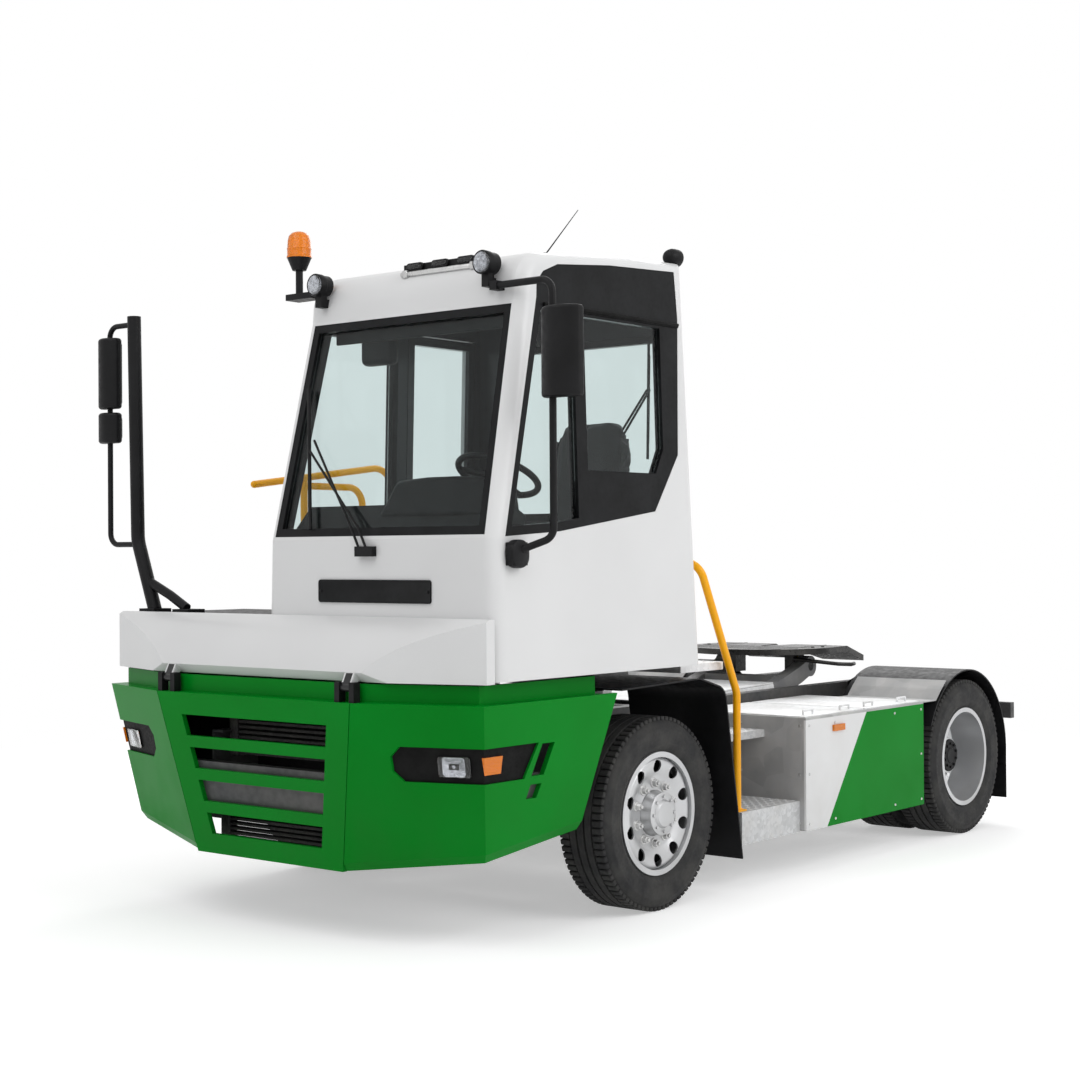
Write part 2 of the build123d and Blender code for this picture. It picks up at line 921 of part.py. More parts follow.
def door_pin(z, radius):
    lean = cab_side_lean / (roof_rear_z - cab_bottom)
    origin = (door_axis_x, side_y(z, -hinge_proud)[0], z)
    with BuildPart() as piece:
        with Locations(Plane(origin=origin, x_dir=(1, 0, 0), z_dir=(0, lean, 1))):
            Cylinder(radius, 2 * knuckle_length)
    return piece.part


# Each panel of the shell, split where the side walls meet the ring between them
with BuildPart() as cab_side_left:
    add(cab_outer)
    add(side_slab(True, -1, cab_wall), mode=Mode.INTERSECT)
    add(inset_outline(left_plane, left_outline, 0, side_reach), mode=Mode.SUBTRACT)
finish(cab_side_left, "cab_side_left")

with BuildPart() as cab_side_right:
    add(cab_outer)
    add(side_slab(False, -1, cab_wall), mode=Mode.INTERSECT)
    add(inset_outline(right_plane, right_outline, 0, right_reach), mode=Mode.SUBTRACT)
    add(inset_outline(right_plane, door_outline, -door_gap, right_reach), mode=Mode.SUBTRACT)
    for z in door_hinges:
        add(door_knuckle(z, -knuckle_length / 2, 1))
        add(door_pin(z, door_pin_radius + seat_gap), mode=Mode.SUBTRACT)
finish(cab_side_right, "cab_side_right")

with BuildPart() as cab_ring:
    add(cab_outer)
    add(cab_inner, mode=Mode.SUBTRACT)
    add(side_slab(True, -200, cab_wall), mode=Mode.SUBTRACT)
    add(side_slab(False, -200, cab_wall), mode=Mode.SUBTRACT)

ring_middle = (cab_rear + cab_front) / 2
sill_top = cab_bottom + sill_height
wide = (cab_right - 100, cab_left + 100)
with BuildPart() as cab_floor:
    add(cab_ring.part)
    block((0, front_end), wide, (cab_bottom - 1, sill_top), mode=Mode.INTERSECT)
finish(cab_floor, "cab_floor")

with BuildPart() as cab_roof:
    add(cab_ring.part)
    block((0, front_end), wide, (roof_split, roof_rear_z + 1), mode=Mode.INTERSECT)
finish(cab_roof, "cab_roof")

with BuildPart() as cab_front_wall:
    add(cab_ring.part)
    block((ring_middle, front_end), wide, (sill_top, roof_split), mode=Mode.INTERSECT)
    add(inset_outline(screen_plane, screen_outline, 0, screen_reach), mode=Mode.SUBTRACT)
finish(cab_front_wall, "cab_front")

with BuildPart() as cab_rear_wall:
    add(cab_ring.part)
    block((0, ring_middle), wide, (sill_top, roof_split), mode=Mode.INTERSECT)
    add(inset_outline(rear_plane, rear_outline, 0, rear_reach), mode=Mode.SUBTRACT)
finish(cab_rear_wall, "cab_rear")

# Dark frames in the window openings, and the panes in them
frame_depths = (2, cab_wall)
pane_depths = (glass_inset, glass_inset + glass_thickness)
left_panes = (left_front_pane, left_rear_pane)
with BuildPart() as left_frame:
    add(inset_outline(left_plane, left_outline, seat_gap, side_reach))
    for pane in left_panes:
        add(inset_outline(left_plane, pane, 0, side_reach), mode=Mode.SUBTRACT)
    add(side_slab(True, *frame_depths), mode=Mode.INTERSECT)

# Framed openings on the other sides: (outline, sketch plane, reach, layer of the frame, of the pane)
right_layers = (side_slab(False, *frame_depths), side_slab(False, *pane_depths))
screen_layers = (screen_plate(*frame_depths), screen_plate(*pane_depths))
rear_layers = (rear_plate(*frame_depths), rear_plate(*pane_depths))
framed_rows = (
    (right_outline, right_plane, right_reach, *right_layers),
    (screen_outline, screen_plane, screen_reach, *screen_layers),
    (rear_outline, rear_plane, rear_reach, *rear_layers),
)
frame_parts = [left_frame.part]
pane_parts = []
for pane in left_panes:
    with BuildPart() as side_pane:
        add(inset_outline(left_plane, pane, seat_gap, side_reach))
        add(side_slab(True, *pane_depths), mode=Mode.INTERSECT)
    pane_parts.append(side_pane.part)
for outline, plane, reach, frame_layer, pane_layer in framed_rows:
    with BuildPart() as border:
        add(inset_outline(plane, outline, seat_gap, reach))
        add(inset_outline(plane, outline, frame_border, reach), mode=Mode.SUBTRACT)
        add(frame_layer, mode=Mode.INTERSECT)
    with BuildPart() as pane:
        add(inset_outline(plane, outline, frame_border + seat_gap, reach))
        add(pane_layer, mode=Mode.INTERSECT)
    frame_parts.append(border.part)
    pane_parts.append(pane.part)

with BuildPart() as window_frames:
    add(frame_parts)
finish(window_frames, "window_frames")

with BuildPart() as cab_glass:
    add(pane_parts)
finish(cab_glass, "cab_glass")

# Door with its pane, hinged at its front edge
with BuildPart() as cab_door:
    add(inset_outline(right_plane, door_outline, 0, right_reach))
    add(inset_outline(right_plane, door_pane, 0, right_reach), mode=Mode.SUBTRACT)
    add(side_slab(False, 0, cab_wall), mode=Mode.INTERSECT)
    for z in door_hinges:
        add(door_knuckle(z, knuckle_length / 2 + seat_gap, -1))
        add(door_pin(z, door_pin_radius))
finish(cab_door, "cab_door")

with BuildPart() as door_glass:
    add(inset_outline(right_plane, door_pane, seat_gap, right_reach))
    add(side_slab(False, *pane_depths), mode=Mode.INTERSECT)
finish(door_glass, "door_glass")


# Cowl: vertical corner facets that cut a sloped, slightly rounded front
def cowl_solid(inset):
    corner = cowl_nose - (cowl_side - cowl_fold) * tan(radians(bumper_sweep))
    left = [(cab_front, cowl_side), (corner, cowl_side), (cowl_nose, cowl_fold)]
    plan = left + [(x, -y) for x, y in reversed(left)]
    with BuildPart() as solid:
        with BuildSketch(Plane.XZ.offset(-half_width)):
            with BuildLine():
                Polyline(
                    (cowl_slope_top_x - inset, cowl_top - inset),
                    (cab_front - 2 * inset, cowl_top - inset),
                    (cab_front - 2 * inset, cowl_bottom - inset),
                    (cowl_nose - cowl_chamfer - inset, cowl_bottom - inset),
                    (cowl_nose - inset, cowl_slope_base),
                )
                ThreePointArc(
                    (cowl_nose - inset, cowl_slope_base),
                    (
                        (cowl_nose + cowl_slope_top_x) / 2 + cowl_bulge - inset,
                        (cowl_slope_base + cowl_top) / 2 + cowl_bulge - inset,
                    ),
                    (cowl_slope_top_x - inset, cowl_top - inset),
                )
            make_face()
        extrude(amount=2 * half_width)
        add(inset_outline(Plane.XY, plan, inset, 2 * cowl_top), mode=Mode.INTERSECT)
    return solid.part


with BuildPart() as cowl:
    add(cowl_solid(0))
    add(cowl_solid(cowl_wall), mode=Mode.SUBTRACT)
    ear = [
        (hinge_x - hinge_pin_radius, hinge_z + 12),
        (hinge_x + hinge_pin_radius, hinge_z + 12),
        (cowl_nose - 5, cowl_slope_base + 5),
        (cowl_nose - cowl_chamfer + 5, cowl_bottom + 8),
    ]
    ear_bore = hinge_pin_radius + seat_gap
    for y in (-hinge_y, hinge_y):
        half_ear = hinge_plate - seat_gap
        add(side_prism(ear, y - half_ear, y + half_ear))
        add(cross_rod(hinge_x, hinge_z, ear_radius, y - half_ear, y + half_ear))
        add(cross_rod(hinge_x, hinge_z, ear_bore, y - hinge_plate, y + hinge_plate), mode=Mode.SUBTRACT)
finish(cowl, "cowl")

with BuildPart() as side_hood:
    block((hood_rear, cab_front), (-hood_side, cab_right - hood_gap), (cowl_bottom, hood_top))
    block(
        (hood_rear + cowl_wall, cab_front - cowl_wall),
        (-hood_side + cowl_wall, cab_right - hood_gap - cowl_wall),
        (cowl_bottom - 1, hood_top - cowl_wall),
        mode=Mode.SUBTRACT,
    )
finish(side_hood, "side_hood")

# Inside the cab: dashboard, steering wheel and seat
floor_z = cab_bottom + cab_wall
inner_right = cab_right + cab_wall + cab_side_lean
inner_left = cab_left - cab_wall - cab_side_lean
dash_points = [
    (cab_front - cab_wall, floor_z),
    (cab_front - cab_wall, screen_bottom - 10),
    (cab_front - 205, screen_bottom + 160),
    (cab_front - 325, screen_bottom + 100),
    (cab_front - 265, screen_bottom - 100),
    (cab_front - 265, floor_z),
]
with BuildPart() as dashboard:
    add(side_prism(dash_points, inner_right, inner_left))
finish(dashboard, "dashboard")

steering_x = cab_front - 655
steering_z = 2100
driver_y = cab_left - 550
steering_tilt = 27
steering_radius = 195
steering_grip = 16
boss_radius = 60
boss_height = 50
boss_drop = 20
spoke_width = 34
column_radius = 38
column_knee = 160
column_bend = 70
column_foot = (cab_front - 280, screen_bottom + 30)
with BuildPart() as steering_wheel:
    rim_plane = Plane(
        origin=(steering_x, driver_y, steering_z),
        x_dir=(0, 1, 0),
        z_dir=(-sin(radians(steering_tilt)), 0, cos(radians(steering_tilt))),
    )
    with Locations(rim_plane):
        Torus(steering_radius, steering_grip)
        with Locations((0, 0, -boss_drop)):
            Cylinder(boss_radius, boss_height)
        for angle in (90, 210, 330):
            with Locations(Location((0, 0, -boss_drop / 2), (0, 0, angle))):
                with Locations((steering_radius / 2, 0, 0)):
                    Box(steering_radius, spoke_width, steering_grip)
    lean = (sin(radians(steering_tilt)), cos(radians(steering_tilt)))
    column = [
        (steering_x + lean[0] * drop, driver_y, steering_z - lean[1] * drop)
        for drop in (boss_drop, column_knee)
    ]
    column.append((column_foot[0], driver_y, column_foot[1]))
    add(tube(column, column_bend, column_radius))
    add(side_prism(dash_points, inner_right, inner_left), mode=Mode.SUBTRACT)
finish(steering_wheel, "steering_wheel")

seat_x = cab_rear + 435
seat_half = 250
seat_nose = 10
pedestal_half = 190
tray_half = 240
tray_bottom = 1560
tray_top = 1610
cushion_top = 1740
cushion_corner = 60
back_half = 235
back_top = 2410
with BuildPart() as seat_base:
    pedestal = (-pedestal_half, pedestal_half)
    with Locations((seat_x, driver_y, 0)):
        block(pedestal, pedestal, (floor_z, tray_bottom))
        block((-tray_half, tray_half), (-tray_half, tray_half), (tray_bottom, tray_top))
finish(seat_base, "seat_base")

with BuildPart() as seat_cushion:
    block(
        (seat_x - seat_half, seat_x + seat_half + seat_nose),
        (driver_y - seat_half, driver_y + seat_half),
        (tray_top + seat_gap, cushion_top),
    )
    fillet(seat_cushion.edges().filter_by(Axis.Z), cushion_corner)
finish(seat_cushion, "seat_cushion")

back_points = [
    (seat_x - seat_half, cushion_top + seat_gap),
    (seat_x - 120, cushion_top + seat_gap),
    (seat_x - 230, back_top),
    (seat_x - 330, back_top),
]
with BuildPart() as seat_back:
    add(side_prism(back_points, driver_y - back_half, driver_y + back_half))
finish(seat_back, "seat_back")

# Mirrors on tube arms, their heads rounded
def mirror_head(x, y, z):
    shoulder = x[0] + head_shoulder
    with BuildPart() as head:
        with BuildSketch(Plane.XY.offset(z[0])) as plan:
            with BuildLine():
                Polyline((shoulder, y[0]), (x[0], y[0]), (x[0], y[1]), (shoulder, y[1]))
                ThreePointArc((shoulder, y[1]), (x[1], (y[0] + y[1]) / 2), (shoulder, y[0]))
            make_face()
            fillet(plan.vertices(), head_corner)
        extrude(amount=z[1] - z[0])
        fillet(head.faces().sort_by(Axis.Z)[-1].edges(), head_edge)
        fillet(head.faces().sort_by(Axis.Z)[0].edges(), head_edge)
    return head.part


head_shoulder = 40
head_corner = 22
head_edge = 16
mirror_out = half_width + 315
left_arm_x = screen_top_x + 40
left_arm_y = half_width + 150
left_foot_z = screen_bottom - 70
arm_root_y = cab_left - 174
arm_top_z = screen_top + 65
arm_block = 20
left_arm = [
    (screen_top_x + 35, arm_root_y, arm_top_z),
    (left_arm_x, left_arm_y, arm_top_z),
    (left_arm_x, left_arm_y, screen_bottom),
    (cab_front - 125, cab_left + 5, left_foot_z + 10),
]
left_foot = (left_foot_z - 50, left_foot_z + 50)
left_head_z = (screen_top - 450, screen_top - 60)
with BuildPart() as mirror_left:
    add(tube(left_arm, 60, 16))
    add(mirror_head((left_arm_x - 20, left_arm_x + 80), (half_width + 105, mirror_out), left_head_z))
    block(
        (screen_top_x - 65, screen_top_x + 55),
        (arm_root_y - arm_block, arm_root_y + arm_block),
        (arm_top_z - arm_block, arm_top_z + arm_block),
    )
    add(cab_outer, mode=Mode.SUBTRACT)
    block(
        (cab_front - 175, cab_front - 75),
        (side_y(left_foot[0], -seat_gap)[1], cab_left + 25),
        left_foot,
    )
finish(mirror_left, "mirror_left")

mast_x = cab_front - 100
mast_y = -half_width - 50
loop_y = -half_width - 250
right_mast = [
    (mast_x, mast_y, screen_top + 120),
    (mast_x, mast_y + 24, screen_bottom + 10),
    (mast_x, mast_y + 158, hood_top + 15),
]
right_loop = [
    (mast_x, mast_y + 10, screen_top + 80),
    (mast_x, loop_y, screen_top + 80),
    (mast_x, loop_y, screen_bottom - 10),
    (mast_x, mast_y + 20, screen_bottom - 10),
]
right_strut = [
    (mast_x, mast_y + 110, 1600),
    (mast_x, mast_y + 280, 1530),
    (mast_x, mast_y + 407, hood_top + 26),
]
foot_half = 60
foot_height = 22
head_x = (mast_x - 20, mast_x + 60)
head_y = (-mirror_out, loop_y + 85)
with BuildPart() as mirror_right:
    add(tube(right_mast, 200, 35))
    add(tube(right_loop, 60, 14))
    add(tube(right_strut, 100, 24))
    for y in (mast_y + 160, mast_y + 420):
        block(
            (mast_x - 55, mast_x + 55),
            (y - foot_half, y + foot_half),
            (hood_top + seat_gap, hood_top + foot_height),
        )
    for z in ((screen_top - 350, screen_top + 20), (screen_top - 530, screen_top - 370)):
        add(mirror_head(head_x, head_y, z))
finish(mirror_right, "mirror_right")

# Roof lamps on brackets at the brow, a lamp bar behind them, the beacon's foot on the cab's side
lamp_x = screen_top_x + 25
lamp_z = brow_z + 86
lamp_rows = (cab_right + 176, cab_left - 228)
lamp_radius = 50
lamp_length = 70
post_half = 20
bar_x = (screen_top_x - 100, screen_top_x - 60)
bar_y = (cab_left - 818, cab_left - 347)
bar_top = brow_z + 145
beacon_x = screen_top_x - 60
beacon_y = cab_right - 64
beacon_foot = brow_z + 45
beacon_base = beacon_foot + 148
beacon_radius = 62
beacon_neck = 34
beacon_post = 18
beacon_height = 130
with BuildPart() as roof_lamps:
    block(bar_x, bar_y, (brow_z, bar_top))
    for y in lamp_rows:
        sides = (y - post_half, y + post_half)
        block((screen_top_x - lamp_length, lamp_x), sides, (brow_z - post_half, brow_z + post_half))
        block((lamp_x - post_half, lamp_x + post_half), sides, (brow_z - post_half, lamp_z))
    add(cab_outer, mode=Mode.SUBTRACT)
    for y in lamp_rows:
        with Locations((lamp_x, y, lamp_z)):
            Cylinder(lamp_radius, lamp_length, rotation=(0, 90, 0))
    block(
        (beacon_x - 50, beacon_x + 40),
        (beacon_y - 56, side_y(beacon_foot, -seat_gap)[0]),
        (beacon_foot, beacon_foot + 30),
    )
    with Locations((beacon_x, beacon_y, (beacon_foot + beacon_base) / 2)):
        Cylinder(beacon_post, beacon_base - beacon_foot)
    with Locations((beacon_x, beacon_y, beacon_base + beacon_radius / 2)):
        Cone(beacon_neck, beacon_radius - 2, beacon_radius)
finish(roof_lamps, "roof_lamps")

with BuildPart() as beacon:
    with Locations((beacon_x, beacon_y, beacon_base + beacon_radius + beacon_height / 2)):
        Cylinder(beacon_radius, beacon_height)
    fillet(beacon.edges().group_by(Axis.Z)[-1], beacon_radius / 2)
finish(beacon, "beacon")

# Wiper: a pivot below the windscreen, two arms and a blade that lies on the glass
screen_slope = (cab_front - screen_top_x) / (screen_top - screen_bottom)


def on_screen(y, z, proud):
    return (cab_front - screen_slope * max(z - screen_bottom, 0) + proud, y, z)


wiper_y = (cab_left + cab_right) / 2 - 20
wiper_z = screen_bottom - 55
wiper_box = (30, 110, 46)
wiper_rod = 6
wiper_blade = 9
with BuildPart() as wipers:
    with Locations((cab_front + seat_gap + wiper_box[0] / 2, wiper_y - 20, wiper_z)):
        Box(*wiper_box)
    for low, high in ((0, 0), (-45, 45)):
        start = on_screen(wiper_y + low, wiper_z, 24)
        bend = on_screen(wiper_y + low - 60, wiper_z + 105, 30)
        end = on_screen(wiper_y - 480 + high / 2, wiper_z + 480 + high, 16)
        add(tube([start, bend, end], 5 * wiper_rod, wiper_rod))
    blade_low = on_screen(wiper_y - 395, wiper_z + 105, wiper_blade + 1)
    blade_high = on_screen(wiper_y - 560, wiper_z + 780, wiper_blade + 1)
    with BuildLine() as blade_path:
        Line(blade_low, blade_high)
    with BuildSketch(Plane(origin=blade_path.line @ 0, z_dir=blade_path.line % 0)):
        Circle(wiper_blade)
    sweep()
finish(wipers, "wipers")

# Platform behind and beside the cab, on two beams that stand on the rails
platform_bottom = platform_top - platform_thickness
cab_beam_x = cab_rear + 20
beam_rows = (platform_rear + 60, cab_beam_x)
platform_beam_half = fender_inner_y - 40
with BuildPart() as platform:
    deck = (platform_bottom, platform_top)
    block((platform_rear, cab_rear - hood_gap), (-platform_side, platform_left), deck)
    block((cab_rear - hood_gap, platform_front), (-platform_side, cab_right - hood_gap), deck)
    for x in beam_rows:
        block(
            (x, x + beam_size),
            (-platform_beam_half, platform_beam_half),
            (platform_bottom - beam_size, platform_bottom),
        )
        for y in (-rail_y, rail_y - rail_flange):
            block((x, x + beam_size), (y, y + rail_flange), (rail_top, platform_bottom - beam_size))
    for y in (50, platform_beam_half - 70):
        block(
            (cab_beam_x, cab_beam_x + beam_size),
            (y - mount_pad, y + mount_pad),
            (platform_bottom, cab_bottom - seat_gap),
        )
finish(platform, "platform")

# Steps on both sides, in front of the battery boxes
with BuildPart() as steps:
    tread = (battery_front, step_front)
    block(tread, (step_inner_y, platform_side), (step_tread_z - step_thickness, step_tread_z))
    block(tread, (platform_side - step_skirt, platform_side), (step_tread_z - step_face, step_tread_z))
    block(
        (battery_front, upper_step_front),
        (rail_y, upper_step_outer_y),
        (upper_step_z - step_thickness, upper_step_z),
    )
    mirror(about=Plane.XZ)
finish(steps, "steps")

# Hand rails
rail_side = half_width - 100
rail_foot_x = step_front - 35
rail_top_x = cab_rear - 130
left_rail = [
    (rail_foot_x, rail_side, step_tread_z),
    (rail_foot_x, rail_side, 1010),
    (rail_top_x, rail_side, 1640),
    (rail_top_x, rail_side - 150, 1740),
    (rail_top_x, rail_side - 150, platform_top),
]
guard_y = -platform_side + 30
guard_front = (platform_front - 25, guard_y, 2115)
guard_rear = (platform_rear + 60, guard_y, 2250)
guard_rail = [guard_front, guard_rear, (guard_rear[0], guard_y, platform_top)]
guard_post_z = 2160
hoop_front = platform_front - 395
hoop_rear = hoop_front - 460
hoop_top = 2115
hoop_bottom = 1885
guard_hoop = [
    (hoop_front, guard_y, hoop_top),
    (hoop_rear, guard_y, hoop_top),
    (hoop_rear, guard_y, hoop_bottom),
    (hoop_front, guard_y, hoop_bottom),
]
with BuildPart() as hand_rails:
    add(tube(left_rail, 70, rail_tube))
    add(tube(guard_rail, 150, rail_tube))
    add(tube(guard_hoop, 105, rail_tube))
    with Locations(guard_front):
        Sphere(rail_tube)
    with Locations((hoop_front, guard_y, (platform_top + guard_post_z) / 2)):
        Cylinder(rail_tube, guard_post_z - platform_top)
finish(hand_rails, "hand_rails")

# Front fenders: bent sheets over the steered wheels, on brackets from the rails
fender_outline = [(414, 1095), (-226, 1112), (-450, 1050), (-600, 180)]
with BuildPart() as front_fenders:
    with BuildSketch(Plane.XZ.offset(-half_width)):
        with BuildLine():
            FilletPolyline(*[(front_axle_x + x, z) for x, z in fender_outline], radius=fender_bend)
        trace(line_width=fender_wall)
    extrude(amount=half_width - fender_inner_y)
    for x in (-60, 260):
        span = (front_axle_x + x - bracket_half, front_axle_x + x + bracket_half)
        front, crest = fender_outline[:2]
        sheet_z = front[1] + (crest[1] - front[1]) * (front[0] - x) / (front[0] - crest[0])
        block(span, (rail_y - rail_flange, fender_inner_y), (bracket_bottom, bracket_top))
        block(span, (rail_y - rail_flange, rail_y), (rail_top, bracket_top))
        block(span, (fender_inner_y, fender_inner_y + bracket_foot), (bracket_bottom, sheet_z))
    mirror(about=Plane.XZ)
finish(front_fenders, "front_fenders")

# Rear mudguards: half rings over the twin wheels, with flaps behind
with BuildPart() as rear_mudguards:
    with BuildSketch(Plane.XZ.offset(-half_width)):
        with BuildLine():
            CenterArc((rear_axle_x, tyre_radius), guard_radius, guard_start, guard_sweep)
        trace(line_width=guard_wall)
    extrude(amount=half_width - guard_inner_y)
    block(
        (rear_axle_x - guard_radius - guard_wall / 2, rear_axle_x - guard_radius + guard_wall / 2),
        (guard_inner_y + flap_inset, half_width),
        (flap_bottom, tyre_radius + flap_inset),
    )
    guard_top = tyre_radius + guard_radius
    bracket = [
        (rail_y, rail_top - 60),
        (guard_inner_y, guard_top - 40),
        (guard_inner_y, guard_top),
        (rail_y, rail_top),
    ]
    add(front_prism(bracket, rear_axle_x - bracket_half, rear_axle_x + bracket_half))
    mirror(about=Plane.XZ)
finish(rear_mudguards, "rear_mudguards")

# Rear bar and its lamps
tail_lamp_bottom = tail_bar_bottom + (tail_bar_height - tail_lamp_height) / 2
with BuildPart() as tail_bar:
    block(
        (rear_end + tail_lamp_depth, rail_rear),
        (-tail_bar_half, tail_bar_half),
        (tail_bar_bottom, tail_bar_bottom + tail_bar_height),
    )
finish(tail_bar, "tail_bar")

with BuildPart() as tail_lamps:
    block(
        (rear_end, rear_end + tail_lamp_depth),
        (tail_bar_half - tail_lamp_length - tail_lamp_margin, tail_bar_half - tail_lamp_margin),
        (tail_lamp_bottom, tail_lamp_bottom + tail_lamp_height),
    )
    mirror(about=Plane.XZ)
finish(tail_lamps, "tail_lamps")

# Lift arm: two bent beams on the frame's shaft, joined by two cross tubes
arm_line = [
    (lift_x, lift_z),
    (coupling_x + 395, 878),
    (coupling_x + 125, 960),
    (coupling_x, coupling_z),
]
with BuildPart() as lift_arm:
    with BuildSketch(Plane.XZ.offset(-arm_y - arm_width / 2)):
        with BuildLine():
            FilletPolyline(*arm_line, radius=arm_bend)
        trace(line_width=arm_depth)
        for x, z in (arm_line[0], arm_line[-1]):
            with Locations((x, z)):
                Circle(arm_hub)
    extrude(amount=arm_width)
    mirror(about=Plane.XZ)
    add(cross_rod(coupling_x + 1165, 856, arm_tube_radius, -arm_y, arm_y))
    add(cross_rod(cylinder_eye_x, cylinder_eye_z, cylinder_pin, -arm_y, arm_y))
    block((coupling_x + 205, coupling_x + 305), (-arm_y, arm_y), (880, 960))
    for y in (-arm_y, arm_y):
        add(
            cross_rod(lift_x, lift_z, lift_shaft_radius + seat_gap, y - arm_width, y + arm_width),
            mode=Mode.SUBTRACT,
        )
        add(
            cross_rod(coupling_x, coupling_z, trunnion_radius + seat_gap, y - arm_width, y + arm_width),
            mode=Mode.SUBTRACT,
        )
finish(lift_arm, "lift_arm")

# Fifth wheel: round in front, two ramps behind, a throat for the trailer's kingpin
half_plate = plate_width / 2
plate_side = [
    (coupling_x + plate_front, coupling_top),
    (coupling_x - ramp_start, coupling_top),
    (coupling_x - plate_rear, coupling_top - ramp_drop),
    (coupling_x - plate_rear, coupling_top - ramp_drop - plate_thickness),
    (coupling_x - ramp_start, coupling_top - plate_thickness),
    (coupling_x + plate_front, coupling_top - plate_thickness),
]
with BuildPart() as fifth_wheel:
    with BuildSketch(Plane.XY):
        with BuildLine():
            Polyline(
                (coupling_x, half_plate),
                (coupling_x - plate_rear, half_plate - plate_taper),
                (coupling_x - plate_rear, throat_half),
                (coupling_x - throat_run, kingpin_hole),
                (coupling_x, kingpin_hole),
                (coupling_x, -kingpin_hole),
                (coupling_x - throat_run, -kingpin_hole),
                (coupling_x - plate_rear, -throat_half),
                (coupling_x - plate_rear, -half_plate + plate_taper),
                (coupling_x, -half_plate),
            )
            ThreePointArc(
                (coupling_x, -half_plate),
                (coupling_x + plate_front, 0),
                (coupling_x, half_plate),
            )
        make_face()
    extrude(amount=2 * coupling_top)
    add(side_prism(plate_side, -half_plate, half_plate), mode=Mode.INTERSECT)
    with Locations((coupling_x, 0, coupling_top)):
        Cylinder(kingpin_hole, 4 * plate_thickness, mode=Mode.SUBTRACT)
    ear_top = coupling_top - plate_thickness
    ear_outer = arm_y - arm_width / 2 - running_gap
    for sign in (-1, 1):
        block(
            (coupling_x - ear_half_length, coupling_x + ear_half_length),
            tuple(sorted((sign * (ear_outer - trunnion_ear), sign * ear_outer))),
            (coupling_z - ear_depth, ear_top),
        )
        trunnion = sorted((sign * (ear_outer - trunnion_root), sign * (arm_y + arm_width / 2)))
        add(cross_rod(coupling_x, coupling_z, trunnion_radius, *trunnion))
finish(fifth_wheel, "fifth_wheel")

# Lift cylinders: barrels on the frame, rods on the arm
cylinder_dx = cylinder_eye_x - cylinder_foot_x
cylinder_dz = cylinder_eye_z - cylinder_foot_z
cylinder_run = (cylinder_dx ** 2 + cylinder_dz ** 2) ** 0.5
run_x = cylinder_dx / cylinder_run
run_z = cylinder_dz / cylinder_run
eye_span = (cylinder_y - cylinder_half_eye, cylinder_y + cylinder_half_eye)
bore_span = (eye_span[0] - 1, eye_span[1] + 1)


def along(distance):
    return Plane(
        origin=(cylinder_foot_x + run_x * distance, cylinder_y, cylinder_foot_z + run_z * distance),
        z_dir=(run_x, 0, run_z),
    )


with BuildPart() as lift_barrels:
    with BuildSketch(along(barrel_start)):
        Circle(barrel_radius)
    extrude(amount=barrel_length)
    with BuildSketch(along(barrel_start + barrel_end)):
        Circle(rod_radius + seat_gap)
    extrude(amount=barrel_length, mode=Mode.SUBTRACT)
    add(cross_rod(cylinder_foot_x, cylinder_foot_z, cylinder_eye, *eye_span))
    trim = cylinder_eye + 10
    for low, high in ((cylinder_half_eye, barrel_radius), (-barrel_radius, -cylinder_half_eye)):
        block(
            (cylinder_foot_x - trim, cylinder_foot_x + trim),
            (cylinder_y + low, cylinder_y + high),
            (cylinder_foot_z - trim, cylinder_foot_z + trim),
            mode=Mode.SUBTRACT,
        )
    foot_bore = cylinder_pin + seat_gap
    add(cross_rod(cylinder_foot_x, cylinder_foot_z, foot_bore, *bore_span), mode=Mode.SUBTRACT)
    mirror(about=Plane.XZ)
finish(lift_barrels, "lift_barrels")

with BuildPart() as lift_rods:
    with BuildSketch(along(rod_start)):
        Circle(rod_radius)
    extrude(amount=cylinder_run - rod_start - cylinder_pin)
    add(cross_rod(cylinder_eye_x, cylinder_eye_z, cylinder_eye, *eye_span))
    rod_bore = cylinder_pin + cylinder_drift
    rod_clear = (cylinder_y - rod_radius - 1, cylinder_y + rod_radius + 1)
    add(cross_rod(cylinder_eye_x, cylinder_eye_z, rod_bore, *rod_clear), mode=Mode.SUBTRACT)
    mirror(about=Plane.XZ)
finish(lift_rods, "lift_rods")


# Wheels
def wheel_plane(x, y):
    """Sketch plane through a wheel's axis: width along its x, radius along its y."""
    return Plane(origin=(x, y, tyre_radius), x_dir=(0, 1, 0), z_dir=(1, 0, 0))


def tyre_ring(x, y):
    half_tread = tyre_width / 2 - tyre_shoulder
    half_side = tyre_width / 2
    half_bead = rim_half_width - flange_lip - seat_gap
    side_radius = (bead_radius + tyre_radius) / 2 + 10
    bead = (half_bead, flange_radius)
    belly = (half_side, side_radius)
    shoulder = (half_side - 14, tyre_radius - 20)
    with BuildPart() as ring:
        with BuildSketch(wheel_plane(x, y)):
            with BuildLine():
                Polyline((0, bead_radius), (half_bead, bead_radius), bead)
                ThreePointArc(bead, belly, shoulder)
                Polyline(shoulder, (half_tread, tyre_radius), (0, tyre_radius), (0, bead_radius))
            make_face()
            mirror(about=Plane.YZ)
        revolve(axis=Axis((x, y, tyre_radius), (0, 1, 0)))
    return ring.part


def turned(x, y, points):
    """A closed outline of (offset, radius) points turned about a wheel's axis."""
    with BuildPart() as solid:
        with BuildSketch(wheel_plane(x, y)):
            Polygon(*points, align=None)
        revolve(axis=Axis((x, y, tyre_radius), (0, 1, 0)))
    return solid.part


barrel_inner = bead_radius - seat_gap - rim_barrel_wall


